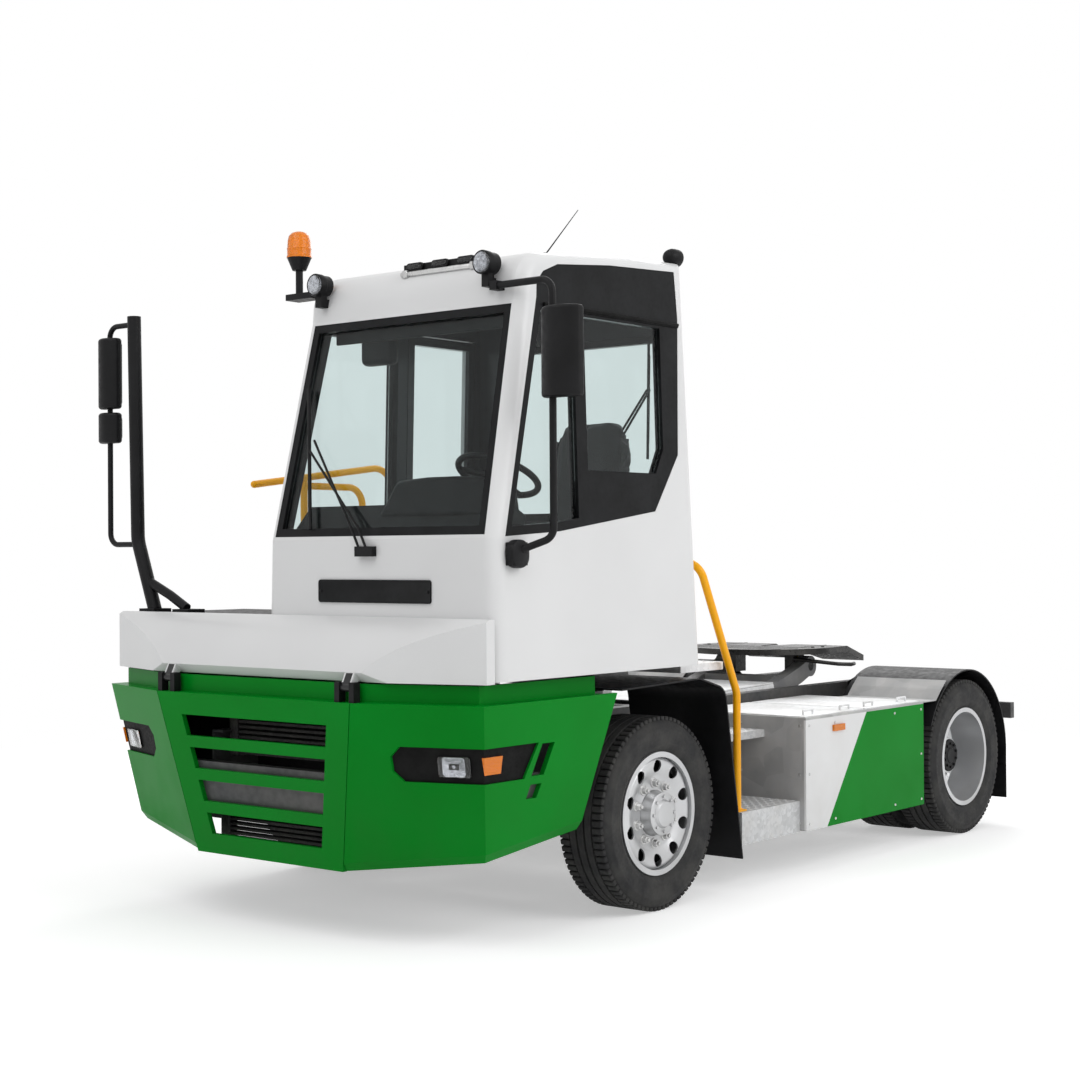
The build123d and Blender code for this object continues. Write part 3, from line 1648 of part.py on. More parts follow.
def rim_barrel(x, y):
    seat = bead_radius - seat_gap
    half = rim_half_width
    lip = half - flange_lip
    return turned(
        x,
        y,
        [
            (-half, flange_radius),
            (-lip, flange_radius),
            (-lip, seat),
            (lip, seat),
            (lip, flange_radius),
            (half, flange_radius),
            (half, barrel_inner),
            (-half, barrel_inner),
        ],
    )


# Front wheels: a convex disc with hand holes, steered on knuckles
front_disc = [
    (hub_reach, barrel_inner + 1),
    (80, 185),
    (86, 110),
    (140, 100),
    (150, 60),
    (150, 0),
    (spindle_reach, 0),
    (spindle_reach, spindle_radius + seat_gap),
    (hub_reach, spindle_radius + seat_gap),
    (hub_reach, 90),
    (66, 110),
    (60, 180),
    (0, barrel_inner + 1),
]
for side, sign in (("left", 1), ("right", -1)):
    y = sign * front_tyre_y
    with BuildPart() as tyre_front:
        add(tyre_ring(front_axle_x, y))
    finish(tyre_front, f"tyre_front_{side}")
    with BuildPart() as rim_front:
        add(rim_barrel(front_axle_x, y))
        add(turned(front_axle_x, y, [(sign * offset_y, radius) for offset_y, radius in front_disc]))
        with Locations(Plane(origin=(front_axle_x, y, tyre_radius), x_dir=(1, 0, 0), z_dir=(0, 1, 0))):
            with PolarLocations(front_hole_circle, hand_holes):
                Cylinder(front_hole_radius, tyre_width, mode=Mode.SUBTRACT)
    finish(rim_front, f"rim_front_{side}")
    knuckle_out = front_tyre_y + hub_reach - seat_gap
    with BuildPart() as knuckle:
        with Locations((front_axle_x, sign * kingpin_y, tyre_radius)):
            Cylinder(kingpin_radius, eye_height + 2 * fork_thickness)
        for z in (-1, 1):
            level = tyre_radius + z * (eye_height / 2 + fork_thickness / 2 + seat_gap)
            with Locations((front_axle_x, sign * kingpin_y, level)):
                Cylinder(eye_radius, fork_thickness)
            outer = sorted((sign * kingpin_y, sign * knuckle_out))
            block(
                (front_axle_x - eye_radius, front_axle_x + eye_radius),
                outer,
                (level - fork_thickness / 2, level + fork_thickness / 2),
            )
        fork_reach = eye_height / 2 + fork_thickness
        web = sorted((sign * (kingpin_y + eye_radius + seat_gap), sign * knuckle_out))
        block(
            (front_axle_x - eye_radius, front_axle_x + eye_radius),
            web,
            (tyre_radius - fork_reach, tyre_radius + fork_reach),
        )
        spindle = sorted((sign * (knuckle_out - 10), sign * (front_tyre_y + spindle_reach)))
        add(cross_rod(front_axle_x, tyre_radius, spindle_radius, *spindle))
    finish(knuckle, f"knuckle_{side}")

# Rear wheels: twin tyres on two rims whose discs meet in the middle, around one hub
twin_half = twin_spacing / 2
twin_disc = [
    (-14, barrel_inner - 60),
    (14, barrel_inner - 60),
    (60, barrel_inner + 1),
    (84, barrel_inner + 1),
    (34, 190),
    (34, 125),
    (190, 110),
    (200, 70),
    (200, 0),
    (30, 0),
    (30, drive_spindle_radius + seat_gap),
    (-twin_half - 10, drive_spindle_radius + seat_gap),
    (-twin_half - 10, 120),
    (-34, 125),
    (-34, 190),
    (-84, barrel_inner + 1),
    (-60, barrel_inner + 1),
]
for side, sign in (("left", 1), ("right", -1)):
    middle = sign * twin_middle
    with BuildPart() as tyres_rear:
        for y in (middle - twin_half, middle + twin_half):
            add(tyre_ring(rear_axle_x, y))
    finish(tyres_rear, f"tyres_rear_{side}")
    with BuildPart() as rims_rear:
        for y in (middle - twin_half, middle + twin_half):
            add(rim_barrel(rear_axle_x, y))
        add(turned(rear_axle_x, middle, [(sign * offset_y, radius) for offset_y, radius in twin_disc]))
        with Locations(Plane(origin=(rear_axle_x, middle, tyre_radius), x_dir=(1, 0, 0), z_dir=(0, 1, 0))):
            with PolarLocations(rear_hole_circle, hand_holes):
                Cylinder(rear_hole_radius, tyre_width, mode=Mode.SUBTRACT)
    finish(rims_rear, f"rims_rear_{side}")
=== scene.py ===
# %% [markdown]
# # A terminal tractor, dressed
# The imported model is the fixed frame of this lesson: every rail, panel and wheel is already in
# its place, in metres, with +X forward, +Y left and +Z up. The looks are built around it. Each
# step first says what the piece is on the real vehicle, then how it is made here.

# %% Load the frame
import bpy
import bmesh
from math import atan2, cos, pi, radians, sin, tan
from mathutils import Matrix, Vector


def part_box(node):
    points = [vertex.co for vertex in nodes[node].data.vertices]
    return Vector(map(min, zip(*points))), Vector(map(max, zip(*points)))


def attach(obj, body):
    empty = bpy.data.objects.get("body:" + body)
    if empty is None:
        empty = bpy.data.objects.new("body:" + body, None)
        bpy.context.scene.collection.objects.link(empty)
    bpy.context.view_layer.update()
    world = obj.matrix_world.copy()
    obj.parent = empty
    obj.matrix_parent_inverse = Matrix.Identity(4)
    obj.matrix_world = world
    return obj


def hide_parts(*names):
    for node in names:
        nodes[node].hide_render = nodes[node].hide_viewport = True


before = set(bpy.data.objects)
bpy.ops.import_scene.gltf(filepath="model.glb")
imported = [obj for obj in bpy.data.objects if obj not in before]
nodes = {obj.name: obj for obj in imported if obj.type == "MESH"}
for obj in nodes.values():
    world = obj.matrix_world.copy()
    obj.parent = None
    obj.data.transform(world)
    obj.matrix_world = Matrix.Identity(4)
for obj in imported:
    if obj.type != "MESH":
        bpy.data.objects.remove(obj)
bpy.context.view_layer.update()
scene = bpy.context.scene
scene.view_settings.view_transform = "Standard"

# %% [markdown]
# ## Camera
# The photograph was taken from the front left, at about chest height, with a long lens. The
# place, the turn and the lens were fitted to points of the vehicle whose places are known, so
# the camera is set by numbers and not by a helper that looks for the frame.

# %% Camera
eye = Vector((8.422, 6.352, 1.735))
yaw, pitch, roll = radians(219.0814), radians(0.3611), radians(-0.3485)
look = Vector((cos(yaw) * cos(pitch), sin(yaw) * cos(pitch), sin(pitch)))
right = look.cross(Vector((0, 0, 1))).normalized()
upward = right.cross(look)
right, upward = right * cos(roll) + upward * sin(roll), upward * cos(roll) - right * sin(roll)
camera_data = bpy.data.cameras.new("yard_camera")
camera_data.sensor_width = 36
camera_data.lens = 61.37
camera_data.shift_x = -0.0033
camera_data.shift_y = 0.0009
camera_data.clip_start, camera_data.clip_end = 0.1, 200
camera = bpy.data.objects.new("yard_camera", camera_data)
scene.collection.objects.link(camera)
turn = Matrix((right, upward, -look)).transposed()
camera.matrix_world = Matrix.Translation(eye) @ turn.to_4x4()
scene.camera = camera
print("camera at", [round(v, 3) for v in eye])

# %% [markdown]
# ## Floor and light
# A studio picture on white: a wide pale floor, soft light from all round, and three large soft
# lamps. The strongest is high on the vehicle's left, because its left side is the brighter one.
# The background is white where it is seen, also through a pane or in a mirror, and it lights
# the vehicle with a plain, weaker level that grows towards the top. The floor near the vehicle
# keeps its shadow and fades to white further out. Small helpers make the shader nodes, so that
# a node tree reads like a sum.

# %% Floor and light
def shader_nodes(tree, *kinds):
    """New nodes of these kinds, and the tree's links."""
    return [tree.nodes.new(kind) for kind in kinds] + [tree.links]


def combine(tree, operation, first, second):
    """One number out of two."""
    both, links = shader_nodes(tree, "ShaderNodeMath")
    both.operation = operation
    links.new(first, both.inputs[0])
    links.new(second, both.inputs[1])
    return both.outputs[0]


def spread(tree, value, from_low, from_high, to_low, to_high):
    """Lays one range of numbers over another, and stops at its ends."""
    band, links = shader_nodes(tree, "ShaderNodeMapRange")
    for socket, number in zip((1, 2, 3, 4), (from_low, from_high, to_low, to_high)):
        band.inputs[socket].default_value = number
    links.new(value, band.inputs[0])
    return band.outputs[0]


def seen_directly(tree):
    """1 for what is seen straight, in a mirror or through glass, 0 for light on things."""
    rays = tree.nodes.new("ShaderNodeLightPath").outputs
    seen = combine(tree, "MAXIMUM", rays["Is Camera Ray"], rays["Is Transmission Ray"])
    return combine(tree, "MAXIMUM", seen, rays["Is Glossy Ray"])


world = bpy.data.worlds.new("white_studio")
scene.world = world
world.use_nodes = True
sky = world.node_tree
glow = sky.nodes["Background"]
glow.inputs["Strength"].default_value = 0.62
backdrop, blend, direction, height, tones, links = shader_nodes(
    sky,
    "ShaderNodeBackground",
    "ShaderNodeMixShader",
    "ShaderNodeTexCoord",
    "ShaderNodeSeparateXYZ",
    "ShaderNodeValToRGB",
)
tones.color_ramp.elements[0].color = (0.5, 0.52, 0.55, 1)
tones.color_ramp.elements[1].color = (1.0, 1.0, 1.0, 1)
tones.color_ramp.elements[1].position = 0.7
links.new(direction.outputs["Generated"], height.inputs[0])
links.new(height.outputs["Z"], tones.inputs["Fac"])
links.new(tones.outputs["Color"], glow.inputs["Color"])
backdrop.inputs["Color"].default_value = (1, 1, 1, 1)
backdrop.inputs["Strength"].default_value = 1.0
links.new(seen_directly(sky), blend.inputs["Fac"])
links.new(glow.outputs[0], blend.inputs[1])
links.new(backdrop.outputs[0], blend.inputs[2])
links.new(blend.outputs[0], sky.nodes["World Output"].inputs["Surface"])

floor_paint = bpy.data.materials.new("studio_floor")
floor_paint.use_nodes = True
tree = floor_paint.node_tree
floor_shader = tree.nodes["Principled BSDF"]
floor_shader.inputs["Base Color"].default_value = (0.97, 0.97, 0.97, 1)
floor_shader.inputs["Roughness"].default_value = 0.9
floor_shader.inputs["Specular IOR Level"].default_value = 0.1
lift, mixed, coordinates, length, links = shader_nodes(
    tree,
    "ShaderNodeEmission",
    "ShaderNodeMixShader",
    "ShaderNodeTexCoord",
    "ShaderNodeVectorMath",
)
length.operation = "LENGTH"
links.new(coordinates.outputs["Object"], length.inputs[0])
distance = length.outputs["Value"]
shadow_end, white_start = 3.5, 8.0
links.new(spread(tree, distance, shadow_end, white_start, 2.1, 1.0), lift.inputs["Strength"])
fade = spread(tree, distance, shadow_end, white_start, 0.2, 1.0)
links.new(combine(tree, "MULTIPLY", fade, seen_directly(tree)), mixed.inputs["Fac"])
links.new(floor_shader.outputs[0], mixed.inputs[1])
links.new(lift.outputs[0], mixed.inputs[2])
links.new(mixed.outputs[0], tree.nodes["Material Output"].inputs["Surface"])

ground = bmesh.new()
bmesh.ops.create_grid(ground, x_segments=1, y_segments=1, size=60)
ground_mesh = bpy.data.meshes.new("studio_floor")
ground.to_mesh(ground_mesh)
ground.free()
ground_mesh.materials.append(floor_paint)
studio_floor = bpy.data.objects.new("studio_floor", ground_mesh)
scene.collection.objects.link(studio_floor)

# Lamps: (name, place, aim, width, watts)
lamp_table = (
    ("left_softbox", (0.5, 9.0, 6.5), (0.0, 0.5, 1.2), 6.0, 360),
    ("front_softbox", (7.5, 0.5, 8.0), (0.8, 0.0, 1.2), 6.0, 190),
    ("rear_softbox", (-7.0, -3.0, 7.0), (-1.5, 0.0, 1.0), 5.0, 260),
)
for name, place, aim, width, watts in lamp_table:
    light = bpy.data.lights.new(name, "AREA")
    light.size = width
    light.energy = watts
    lamp = bpy.data.objects.new(name, light)
    scene.collection.objects.link(lamp)
    lamp.visible_camera = lamp.visible_transmission = False
    lamp.matrix_world = Matrix.Translation(place) @ (
        (Vector(aim) - Vector(place)).to_track_quat("-Z", "Y").to_matrix().to_4x4()
    )
print("lamps:", len(lamp_table))

# %% [markdown]
# ## Finishes
# Paint, plastic, zinc, rubber and glass each have their own small-scale detail. All the
# patterns read Object coordinates, which are the vehicle's own metres here, so a scale of 40
# means features of about 25 mm. The last helper lays down what most finishes share: two tones
# mixed by a cloudy noise, a changing gloss, and a fine bump. Numbers that don't change over the
# surface are set on the shader itself.

# %% Helpers for finishes
def new_finish(name):
    made = bpy.data.materials.new(name)
    made.use_nodes = True
    return made, made.node_tree, made.node_tree.nodes["Principled BSDF"]


def place_in_metres(tree):
    return tree.nodes.new("ShaderNodeTexCoord").outputs["Object"]


def cloud(tree, vector, scale, detail=3.0):
    noise, links = shader_nodes(tree, "ShaderNodeTexNoise")
    noise.inputs["Scale"].default_value = scale
    noise.inputs["Detail"].default_value = detail
    links.new(vector, noise.inputs["Vector"])
    return noise.outputs["Fac"]


def two_tones(tree, factor, first, second):
    ramp, links = shader_nodes(tree, "ShaderNodeValToRGB")
    ramp.color_ramp.elements[0].color = (*first, 1)
    ramp.color_ramp.elements[1].color = (*second, 1)
    links.new(factor, ramp.inputs["Fac"])
    return ramp.outputs["Color"]


def lay_over(tree, share, under, colour):
    """A colour that covers another by a share."""
    mix, links = shader_nodes(tree, "ShaderNodeMix")
    mix.data_type = "RGBA"
    links.new(share, mix.inputs["Factor"])
    links.new(under, mix.inputs["A"])
    mix.inputs["B"].default_value = (*colour, 1)
    return mix.outputs["Result"]


def raise_by(tree, shader, height, strength, distance):
    bump, links = shader_nodes(tree, "ShaderNodeBump")
    bump.inputs["Strength"].default_value = strength
    bump.inputs["Distance"].default_value = distance
    links.new(height, bump.inputs["Height"])
    links.new(bump.outputs["Normal"], shader.inputs["Normal"])


def cloudy_finish(name, first, second, rough, tone_scale=3.0, grain=(90, 0.12, 0.001), **sockets):
    """Two tones, a gloss between two values, a fine grain. Other sockets are constants."""
    made, tree, shader = new_finish(name)
    vector = place_in_metres(tree)
    tone = cloud(tree, vector, tone_scale, 4.0)
    tree.links.new(
        two_tones(tree, spread(tree, tone, 0.35, 0.65, 0, 1), first, second),
        shader.inputs["Base Color"],
    )
    gloss = cloud(tree, vector, tone_scale * 7, 2.0)
    tree.links.new(spread(tree, gloss, 0.3, 0.7, *rough), shader.inputs["Roughness"])
    scale, strength, distance = grain
    raise_by(tree, shader, cloud(tree, vector, scale, 2.0), strength, distance)
    for socket, value in sockets.items():
        shader.inputs[socket.replace("_", " ")].default_value = value
    return made


# %% [markdown]
# ## Paint
# Green and white enamel under a clear coat, with the slight waviness of sprayed paint and a
# film of road dust that thickens towards the ground. Dust is a second colour whose share falls
# with height, broken up by a cloudy noise.

# %% Paint
def enamel(name, first, second, dust, coat, shine=0.28):
    made, tree, shader = new_finish(name)
    vector = place_in_metres(tree)
    apart, links = shader_nodes(tree, "ShaderNodeSeparateXYZ")
    links.new(vector, apart.inputs[0])
    low_down = spread(tree, apart.outputs["Z"], 0.2, 1.0, 0.34, 0.0)
    patches = spread(tree, cloud(tree, vector, 4.0, 6.0), 0.35, 0.75, 0, 1)
    dirt = combine(tree, "MULTIPLY", low_down, patches)
    tone = spread(tree, cloud(tree, vector, 1.6, 2.0), 0.3, 0.7, 0, 1)
    paint = two_tones(tree, tone, first, second)
    links.new(lay_over(tree, dirt, paint, dust), shader.inputs["Base Color"])
    links.new(spread(tree, dirt, 0, 0.3, 0.32, 0.6), shader.inputs["Roughness"])
    raise_by(tree, shader, cloud(tree, vector, 110, 1.0), 0.05, 0.0006)
    shader.inputs["Specular IOR Level"].default_value = shine
    shader.inputs["Coat Weight"].default_value = coat
    shader.inputs["Coat Roughness"].default_value = 0.08
    return made


green_enamel = enamel(
    "green_enamel", (0.0, 0.2, 0.012), (0.0, 0.23, 0.016), (0.03, 0.14, 0.03), 0.015, 0.05
)
white_tones = ((0.71, 0.71, 0.71), (0.75, 0.75, 0.75), (0.46, 0.44, 0.41), 0.15)
white_enamel = enamel("white_enamel", *white_tones)
yellow_enamel = enamel("yellow_enamel", (0.93, 0.4, 0.0), (1.0, 0.46, 0.0), (0.5, 0.3, 0.06), 0.1)
silver_wheel = enamel(
    "silver_wheel", (0.5, 0.505, 0.515), (0.62, 0.625, 0.635), (0.3, 0.29, 0.27), 0.2
)
silver_wheel.node_tree.nodes["Principled BSDF"].inputs["Metallic"].default_value = 0.85
print("paint finishes: 4")

# %% [markdown]
# ## Cab paint and lining
# The cab's panels are one solid through and through: painted outside, lined with charcoal
# plastic inside. The finish finds out which side it is on from the place alone. Seven planes,
# five for the walls and the windscreen and two for the roof, lie about 26 mm behind the skin
# and shut in the room, and what is inside all of them gets the lining. In the same way, painted
# shade darkens the cowl's lower edge and its two hinge ears, which lie in shadow under the cowl.

# %% Cab paint and lining
def past(tree, weights, limit):
    """1 where the weighted sum of X, Y and Z is above the limit."""
    vector = place_in_metres(tree)
    dot, test, links = shader_nodes(tree, "ShaderNodeVectorMath", "ShaderNodeMath")
    dot.operation = "DOT_PRODUCT"
    dot.inputs[1].default_value = weights
    test.operation = "GREATER_THAN"
    test.inputs[1].default_value = limit
    links.new(vector, dot.inputs[0])
    links.new(dot.outputs["Value"], test.inputs[0])
    return test.outputs[0]


def dark_where(made, tests, colour):
    """Lays a dark colour over a finish where every (weights, limit) test holds."""
    tree = made.node_tree
    inside = past(tree, *tests[0])
    for weights, limit in tests[1:]:
        inside = combine(tree, "MULTIPLY", inside, past(tree, weights, limit))
    base = tree.nodes["Principled BSDF"].inputs["Base Color"]
    outer = base.links[0].from_socket
    tree.links.new(lay_over(tree, inside, outer, colour), base)


# The cab's walls at the height of its foot, and how they lean in above it
cab_left, cab_right, cab_back, cab_nose = 1.25, -0.21, 0.895, 2.455
wall_foot, wall_lean = 1.18, 0.0303
screen_foot, screen_slope = 1.8, 0.2286
# The two planes of the roof: their height at X = 0 and how they fall forward
roof_height, roof_fall = 3.225, 0.07
brow_height, brow_fall = 4.645, 0.75
skin = 0.026
drawn_in = wall_lean * wall_foot - skin
cab_paint = enamel("cab_paint_and_lining", *white_tones)
room = (
    ((0, -1, -wall_lean), -cab_left - drawn_in),
    ((0, 1, -wall_lean), cab_right - drawn_in),
    ((1, 0, -wall_lean), cab_back - drawn_in),
    ((-1, 0, 0), -cab_nose + skin),
    ((-1, 0, -screen_slope), -cab_nose - screen_slope * screen_foot + skin),
    ((-roof_fall, 0, -1), -roof_height + skin),
    ((-brow_fall, 0, -1), -brow_height + skin),
)
dark_where(cab_paint, room, (0.02, 0.021, 0.024))

# Painted shade: the cowl is white enamel, coloured near-black along its lower edge and on its two
# hinge ears, where they lie in the shadow under the cowl.
cowl_paint_and_shade = enamel("cowl_paint_and_shade", *white_tones)
under_edge, under_ears = ((0, 0, -1), -1.1725), ((0, 0, -1), -1.212)
ear_inner, ear_outer = 0.579, 0.621
ears = [
    (under_ears, ((0, 1, 0), low), ((0, -1, 0), -high))
    for low, high in ((ear_inner, ear_outer), (-ear_outer, -ear_inner))
]
for tests in ((under_edge,), *ears):
    dark_where(cowl_paint_and_shade, tests, (0.012, 0.012, 0.013))
print("cab finishes made")

# %% [markdown]
# ## Plastic, steel and rubber
# Fenders and mirror heads are black moulded plastic with a leathery grain. The frame is satin
# charcoal, the platform and the steps are hot-dip zinc with its crystal flowers, the steps a
# little duller, the battery cases are grey sheet with a broad, faint pattern, and the fifth
# wheel is greased iron. Most are a few numbers for the helper above. The zinc and the grey sheet
# share a pattern of crystals, which are the cells of a Voronoi texture.

# %% Plastic, steel and rubber
black_moulding = cloudy_finish(
    "black_moulding", (0.006, 0.006, 0.0065), (0.011, 0.011, 0.012), (0.36, 0.55),
    5.0, (420, 0.25, 0.0006), Specular_IOR_Level=0.16,
)
dark_trim = cloudy_finish(
    "dark_trim", (0.006, 0.0062, 0.0068), (0.011, 0.0115, 0.0125), (0.34, 0.5),
    6.0, (600, 0.2, 0.0005), Specular_IOR_Level=0.12,
)
charcoal_frame = cloudy_finish(
    "charcoal_frame", (0.03, 0.031, 0.033), (0.06, 0.058, 0.056), (0.4, 0.65),
    4.0, (60, 0.15, 0.001),
)
arm_grey = cloudy_finish(
    "arm_grey", (0.19, 0.19, 0.195), (0.27, 0.265, 0.255), (0.4, 0.62),
    5.0, (70, 0.15, 0.001),
)
cast_iron = cloudy_finish(
    "cast_iron", (0.014, 0.014, 0.014), (0.036, 0.033, 0.03), (0.55, 0.8),
    9.0, (140, 0.5, 0.002), Metallic=0.2,
)
greased_plate = cloudy_finish(
    "greased_plate", (0.012, 0.012, 0.012), (0.045, 0.043, 0.04), (0.22, 0.5),
    7.0, (45, 0.3, 0.0015), Metallic=0.6,
)
rod_chrome = cloudy_finish(
    "rod_chrome", (0.72, 0.73, 0.75), (0.8, 0.8, 0.81), (0.06, 0.14),
    20.0, (300, 0.05, 0.0003), Metallic=1.0,
)
tyre_rubber = cloudy_finish(
    "tyre_rubber", (0.03, 0.03, 0.031), (0.053, 0.052, 0.05), (0.62, 0.85),
    9.0, (260, 0.35, 0.0012), Specular_IOR_Level=0.15,
)
seal_rubber = cloudy_finish(
    "seal_rubber", (0.004, 0.004, 0.004), (0.009, 0.009, 0.009), (0.5, 0.7),
    12.0, (500, 0.2, 0.0004), Specular_IOR_Level=0.08,
)
bright_steel = cloudy_finish(
    "bright_steel", (0.5, 0.5, 0.5), (0.62, 0.62, 0.61), (0.25, 0.42),
    14.0, (200, 0.2, 0.0006), Metallic=0.9,
)


def zinc_flowers(name, first, second, scale):
    made, tree, shader = new_finish(name)
    vector = place_in_metres(tree)
    cells, links = shader_nodes(tree, "ShaderNodeTexVoronoi")
    cells.inputs["Scale"].default_value = scale
    links.new(vector, cells.inputs["Vector"])
    apart, links = shader_nodes(tree, "ShaderNodeSeparateColor")
    links.new(cells.outputs["Color"], apart.inputs[0])
    flowers = two_tones(tree, apart.outputs[0], first, second)
    stain = spread(tree, cloud(tree, vector, 5.0, 6.0), 0.45, 0.8, 0, 0.7)
    links.new(lay_over(tree, stain, flowers, (0.55, 0.54, 0.52)), shader.inputs["Base Color"])
    links.new(spread(tree, apart.outputs[1], 0, 1, 0.4, 0.6), shader.inputs["Roughness"])
    raise_by(tree, shader, cloud(tree, vector, 35, 4.0), 0.12, 0.002)
    shader.inputs["Metallic"].default_value = 0.2
    return made


zinc_plate = zinc_flowers("zinc_plate", (0.78, 0.785, 0.79), (0.9, 0.905, 0.91), 55.0)
step_zinc = zinc_flowers("step_zinc", (0.5, 0.505, 0.51), (0.64, 0.645, 0.65), 55.0)
battery_metal = zinc_flowers("battery_metal", (0.34, 0.34, 0.34), (0.43, 0.43, 0.43), 9.0)
print("plastic, steel and rubber finishes: 13")

# %% [markdown]
# ## Glass, lenses and cloth
# The panes are faintly blue-green and clear. The colour is taken once by each pane, so what is
# behind two panes is tinted twice, as in the photograph. A low index of refraction keeps their
# mirror image weak, so the dark room behind them stays dark. Lamp lenses are clear or coloured
# plastic with moulded ribs, and the seat is a woven cloth.

# %% Glass, lenses and cloth
def clear_finish(name, colour, rough, rib_scale, rib_strength, weight=1.0, index=1.45):
    made, tree, shader = new_finish(name)
    vector = place_in_metres(tree)
    haze = cloud(tree, vector, 2.5, 3.0)
    links = tree.links
    fainter = tuple(0.97 * part for part in colour)
    tint = two_tones(tree, spread(tree, haze, 0.3, 0.7, 0, 1), colour, fainter)
    links.new(tint, shader.inputs["Base Color"])
    links.new(spread(tree, haze, 0.3, 0.7, *rough), shader.inputs["Roughness"])
    shader.inputs["Transmission Weight"].default_value = weight
    shader.inputs["IOR"].default_value = index
    if rib_strength:
        ribs, links = shader_nodes(tree, "ShaderNodeTexWave")
        ribs.bands_direction = "Z"
        ribs.inputs["Scale"].default_value = rib_scale
        links.new(vector, ribs.inputs["Vector"])
        raise_by(tree, shader, ribs.outputs["Fac"], rib_strength, 0.002)
    return made


window_glass = clear_finish("window_glass", (0.785, 0.85, 0.847), (0.0, 0.02), 1, 0, index=1.22)
lamp_lens = clear_finish("lamp_lens", (0.9, 0.91, 0.93), (0.02, 0.06), 60, 0.25)
amber_lens = clear_finish("amber_lens", (1.0, 0.27, 0.0), (0.12, 0.22), 45, 0.35, 0.35)
red_lens = clear_finish("red_lens", (0.62, 0.01, 0.012), (0.12, 0.22), 45, 0.35, 0.3)
mirror_silver = cloudy_finish(
    "mirror_silver", (0.86, 0.87, 0.88), (0.9, 0.9, 0.9), (0.015, 0.04),
    8.0, (30, 0.01, 0.0002), Metallic=1.0,
)
reflector = cloudy_finish(
    "reflector", (0.34, 0.35, 0.37), (0.62, 0.63, 0.65), (0.08, 0.2),
    60.0, (120, 0.3, 0.002), Metallic=1.0,
)

seat_cloth, tree, shader = new_finish("seat_cloth")
vector = place_in_metres(tree)
warp, weft, links = shader_nodes(tree, "ShaderNodeTexWave", "ShaderNodeTexWave")
warp.bands_direction, weft.bands_direction = "Y", "DIAGONAL"
for thread in (warp, weft):
    thread.inputs["Scale"].default_value = 110
    thread.inputs["Distortion"].default_value = 1.5
    links.new(vector, thread.inputs["Vector"])
weave = combine(tree, "MAXIMUM", warp.outputs["Fac"], weft.outputs["Fac"])
yarn = two_tones(tree, weave, (0.012, 0.012, 0.014), (0.045, 0.046, 0.05))
links.new(yarn, shader.inputs["Base Color"])
links.new(spread(tree, cloud(tree, vector, 12), 0.3, 0.7, 0.8, 0.95), shader.inputs["Roughness"])
raise_by(tree, shader, weave, 0.4, 0.0015)
shader.inputs["Sheen Weight"].default_value = 0.3
print("glass, lens and cloth finishes: 7")

# %% [markdown]
# ## Finishes on the CAD nodes
# Each node of the frame keeps its mesh and gets its finish in its material slot. One table
# names each finish with the nodes that wear it, so a change of finish is a change of one word.

# %% Finishes on the CAD nodes
finish_table = (
    (green_enamel, "battery_panels_green bumper_center bumper_wings front_band"),
    (white_enamel, "battery_panels_white"),
    (cowl_paint_and_shade, "cowl"),
    (cab_paint, "cab_floor cab_roof cab_front cab_rear cab_side_left cab_side_right cab_door"),
    (charcoal_frame, "frame front_axle front_springs bumper_beam tail_bar"),
    (black_moulding, "front_fenders rear_mudguards mirror_left mirror_right"),
    (seal_rubber, "lamp_housings"),
    (black_moulding, "roof_lamps wipers cab_hinge side_hood"),
    (dark_trim, "window_frames dashboard steering_wheel seat_base"),
    (zinc_plate, "platform"),
    (step_zinc, "steps"),
    (battery_metal, "battery_boxes"),
    (yellow_enamel, "hand_rails"),
    (silver_wheel, "rim_front_left rim_front_right rims_rear_left rims_rear_right"),
    (tyre_rubber, "tyre_front_left tyre_front_right tyres_rear_left tyres_rear_right"),
    (cast_iron, "rear_axle drive_motor knuckle_left knuckle_right"),
    (arm_grey, "lift_arm lift_barrels"),
    (greased_plate, "fifth_wheel"),
    (rod_chrome, "lift_rods"),
    (window_glass, "cab_glass door_glass"),
    (lamp_lens, "headlamps"),
    (amber_lens, "indicators beacon"),
    (red_lens, "tail_lamps"),
    (seat_cloth, "seat_cushion seat_back"),
)
dressed = 0
for made, names in finish_table:
    for name in names.split():
        mesh = nodes[name].data
        mesh.materials.clear()
        mesh.materials.append(made)
        dressed += 1
print("nodes with a finish:", dressed)

# %% [markdown]
# ## Helpers for pieces
# A piece starts as a bmesh, gets its edges rounded, and becomes an object at the origin that
# rides on a body. Edges sharper than 35 degrees stay crisp, the others are shaded smooth. Four
# basic shapes follow, each from an operator: a rounded box, a plate with round corners, a round
# bar, and a line that is spun round an axis.

# %% Helpers for pieces
added = []


def keep(name, bm, body, material, replaces=()):
    """Turns a bmesh into a piece that rides on a body."""
    for face in bm.faces:
        face.smooth = True
    for edge in bm.edges:
        edge.smooth = len(edge.link_faces) == 2 and edge.calc_face_angle(0) < radians(35)
    mesh = bpy.data.meshes.new(name)
    bm.to_mesh(mesh)
    bm.free()
    mesh.materials.append(material)
    made = bpy.data.objects.new(name, mesh)
    scene.collection.objects.link(made)
    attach(made, body)
    if replaces:
        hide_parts(*replaces)
    added.append((name, len(mesh.polygons)))
    return made


def everything(bm):
    return bm.verts[:] + bm.edges[:] + bm.faces[:]


def edges_at(corners):
    """The edges that meet these corners, each once and in a fixed order."""
    return list(dict.fromkeys(edge for vert in corners for edge in vert.link_edges))


def sharp(edges, angle):
    return [edge for edge in edges if edge.calc_face_angle(0) > radians(angle)]


def round_edges(bm, edges, offset, segments=2):
    return bmesh.ops.bevel(
        bm,
        geom=edges,
        offset=offset,
        affect="EDGES",
        segments=segments,
        profile=0.5,
        material=-1,
    )


